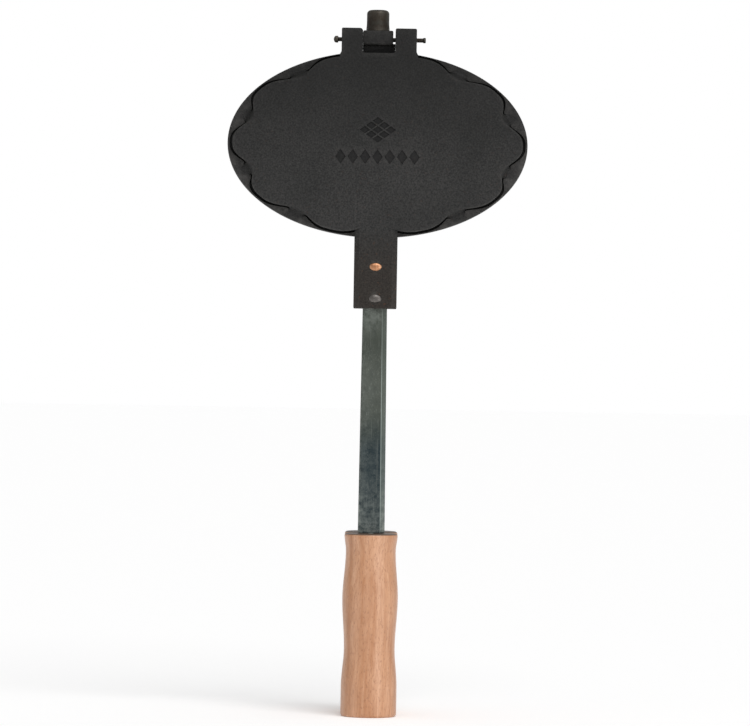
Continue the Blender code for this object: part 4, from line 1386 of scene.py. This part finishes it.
@dataclass
class Grips:
    """The turned wooden grips, with the washer and nut in the foot of each."""

    stations: tuple[Spot, ...] = ((0.0, 0.0185), (0.16, 0.0185), (0.37, 0.0168), (0.645, 0.0184),
                                  (0.9, 0.0165), (1.0, 0.0177))
    edge: float = 0.0018
    bore: float = 0.0033
    counterbore: float = 0.0095
    washer_radius: float = 0.0080
    nut_flats: float = 0.0100
    points: int = 80
    steps: int = 44

    def radius(self, share: float) -> float:
        """The grip's radius at a share of its length above its foot."""
        for (low, start), (high, end) in zip(self.stations, self.stations[1:]):
            if share <= high:
                return mix(start, end, ease((share - low) / (high - low)))
        return self.stations[-1][1]

    def grip(self) -> Piece:
        """The front grip, turned round its bore."""
        low = foot_of("front_grip")
        length = top_of("front_grip") - low
        depth = top_of("front_grip_washer") + 0.0003
        top, foot, rim, edge = self.radius(1.0), self.radius(0.0), self.counterbore, self.edge
        profile = [(self.bore, length - 0.0004), (self.bore + 0.0004, length), (top - edge - 0.0008, length)]
        profile += [(self.radius(1.0 - edge / length * down) - edge * inward, length - edge * down)
                    for inward, down in map(rounding, (90, 72, 54, 36, 18, 0))]
        for step in range(1, self.steps):
            height = mix(length - edge, edge, step / self.steps)
            profile.append((self.radius(height / length), height))
        profile += [(foot - edge * inward, edge * down)
                    for inward, down in map(rounding, (0, 18, 36, 54, 72, 90))]
        profile += [(foot - edge - 0.0008, 0.0), (rim + 0.0005, 0.0), (rim + 0.0001, 0.0001), (rim, 0.0005),
                    (rim, depth - 0.0002), (rim - 0.0003, depth), (self.bore, depth)]
        standing = [(radius, low + height) for radius, height in profile]
        return Bench.turned("front_turned_grip", middle("front_grip"), standing, self.points, tube=True)

    def washer(self) -> Piece:
        """The front washer, with one rounded edge as stamped."""
        low, high, wide = foot_of("front_grip_washer"), top_of("front_grip_washer"), self.washer_radius
        profile = [(self.bore, high), (wide - 0.0001, high), (wide, high - 0.0001), (wide, low + 0.0004),
                   (wide - 0.0001, low + 0.0001), (wide - 0.0004, low), (self.bore + 0.0002, low),
                   (self.bore, low + 0.0002)]
        return Bench.turned("front_stamped_washer", middle("front_grip_washer"), profile, 48, tube=True)

    def nut(self) -> Piece:
        """The front nut, a hexagon with chamfered corners and a chamfered bore."""
        low, high, axis = foot_of("front_grip_nut"), top_of("front_grip_nut"), middle("front_grip_nut")
        count = 72
        flat = self.nut_flats / 2
        full, bore = flat / math.cos(math.pi / 6), self.bore - 0.0001

        def hexagon(limit: float, level: float) -> Ring:
            """The hexagon, cut to a circle of that radius."""
            ring = []
            for number in range(count):
                angle = math.tau * number / count
                off = (angle % (math.pi / 3)) - math.pi / 6
                radius = min(flat / math.cos(off), limit)
                ring.append((axis.x + radius * math.cos(angle), axis.y + radius * math.sin(angle), level))
            return ring

        def bored(wider: float, level: float) -> Ring:
            """A circle in the bore."""
            return [(axis.x + x, axis.y + y, level) for x, y in circle(bore + wider, count)]

        rings = [bored(0.0, high - 0.0004), bored(0.0004, high), hexagon(flat * 0.98, high),
                 hexagon(full, high - 0.0006), hexagon(full, low + 0.0006), hexagon(flat * 0.98, low),
                 bored(0.0004, low), bored(0.0, low + 0.0004)]
        return Bench.loft("front_hexagon_nut", rings, tube=True)

    def build(self, paint: Paint) -> None:
        """Model the grips with their washers and nuts, and hand them over."""
        shapes = {"grip": self.grip(), "grip_washer": self.washer(), "grip_nut": self.nut()}
        for node, shape in shapes.items():
            paint.hand_over_pair(shape, "beech" if node == "grip" else "plated_steel", node)


# ---------------------------------------------------------------- studio

@dataclass
class Studio:
    """The pale floor, the soft lights and the camera."""

    floor_size: float = 40.0
    distance: float = 3.000
    lens: float = 216.9
    roll: float = 0.95
    aim: Spot = (0.0007, 0.2338)
    air: Spot = (0.50, 1.0)
    plate_face: float = -0.0120
    sun_from: Place = (0.35, -0.80, 0.95)
    sun_size: float = 45.0
    sun_power: float = 1.6

    def floor(self, paint: Paint) -> None:
        """The floor, a wide sheet under the grips."""
        bpy.ops.object.select_all(action="DESELECT")
        bpy.ops.mesh.primitive_plane_add(size=self.floor_size)
        sheet = bpy.context.active_object
        sheet.name = "studio_floor"
        bpy.ops.object.transform_apply(location=True, rotation=True, scale=True)
        paint.dress(sheet, "")

    def lamp(self, name: str, place: Place, target: Place, size: float, power: float) -> None:
        """A square soft light that faces a target."""
        bpy.ops.object.light_add(type="AREA", location=place)
        lamp = Bench.take(name)
        lamp.data.shape = "SQUARE"
        lamp.data.size = size
        lamp.data.energy = power
        lamp.rotation_euler = (Vector(target) - Vector(place)).to_track_quat("-Z", "Y").to_euler()

    def build(self, paint: Paint) -> None:
        """Set up the floor, the lights, the backdrop's light and the camera."""
        self.floor(paint)
        world = bpy.data.worlds.new("studio_air")
        bpy.context.scene.world = world
        world.use_nodes = True
        air = world.node_tree.nodes["Background"]
        air.inputs["Color"].default_value = WHITE
        board = Board(world.node_tree)
        seen = board.lay("LightPath").outputs["Is Camera Ray"]
        world.node_tree.links.new(board.span(seen, 0.0, 1.0, *self.air), air.inputs["Strength"])
        bpy.ops.object.light_add(type="SUN", location=(1.0, -1.0, 1.5))
        sun = Bench.take("key_light")
        sun.data.angle = math.radians(self.sun_size)
        sun.data.energy = self.sun_power
        sun.rotation_euler = (-Vector(self.sun_from)).to_track_quat("-Z", "Y").to_euler()
        self.lamp("low_light", (0.75, -1.05, 0.12), (0.0, 0.0, 0.34), 0.45, 2.5)
        bpy.ops.object.camera_add(location=(self.aim[0], self.plate_face - self.distance, self.aim[1]))
        camera = Bench.take("camera")
        camera.data.lens = self.lens
        camera.data.sensor_width = 36.0
        level = Euler((math.pi / 2, 0.0, 0.0)).to_matrix()
        turned = level @ Matrix.Rotation(math.radians(self.roll), 3, "Z")
        camera.rotation_euler = turned.to_euler()
        bpy.context.scene.camera = camera
        bpy.context.scene.view_settings.view_transform = "Standard"


def main() -> None:
    """Build the iron piece by piece, then the studio."""
    logging.basicConfig(level=logging.INFO, format="%(name)s %(message)s")
    bpy.ops.object.select_all(action="DESELECT")
    paint = Paint()
    for assembly in (Plates(), Hinge(), Bars(), Rivets(), Grips(), Studio()):
        assembly.build(paint)
        LOG.info("%s done", type(assembly).__name__)


if __name__ == "__main__":
    main()
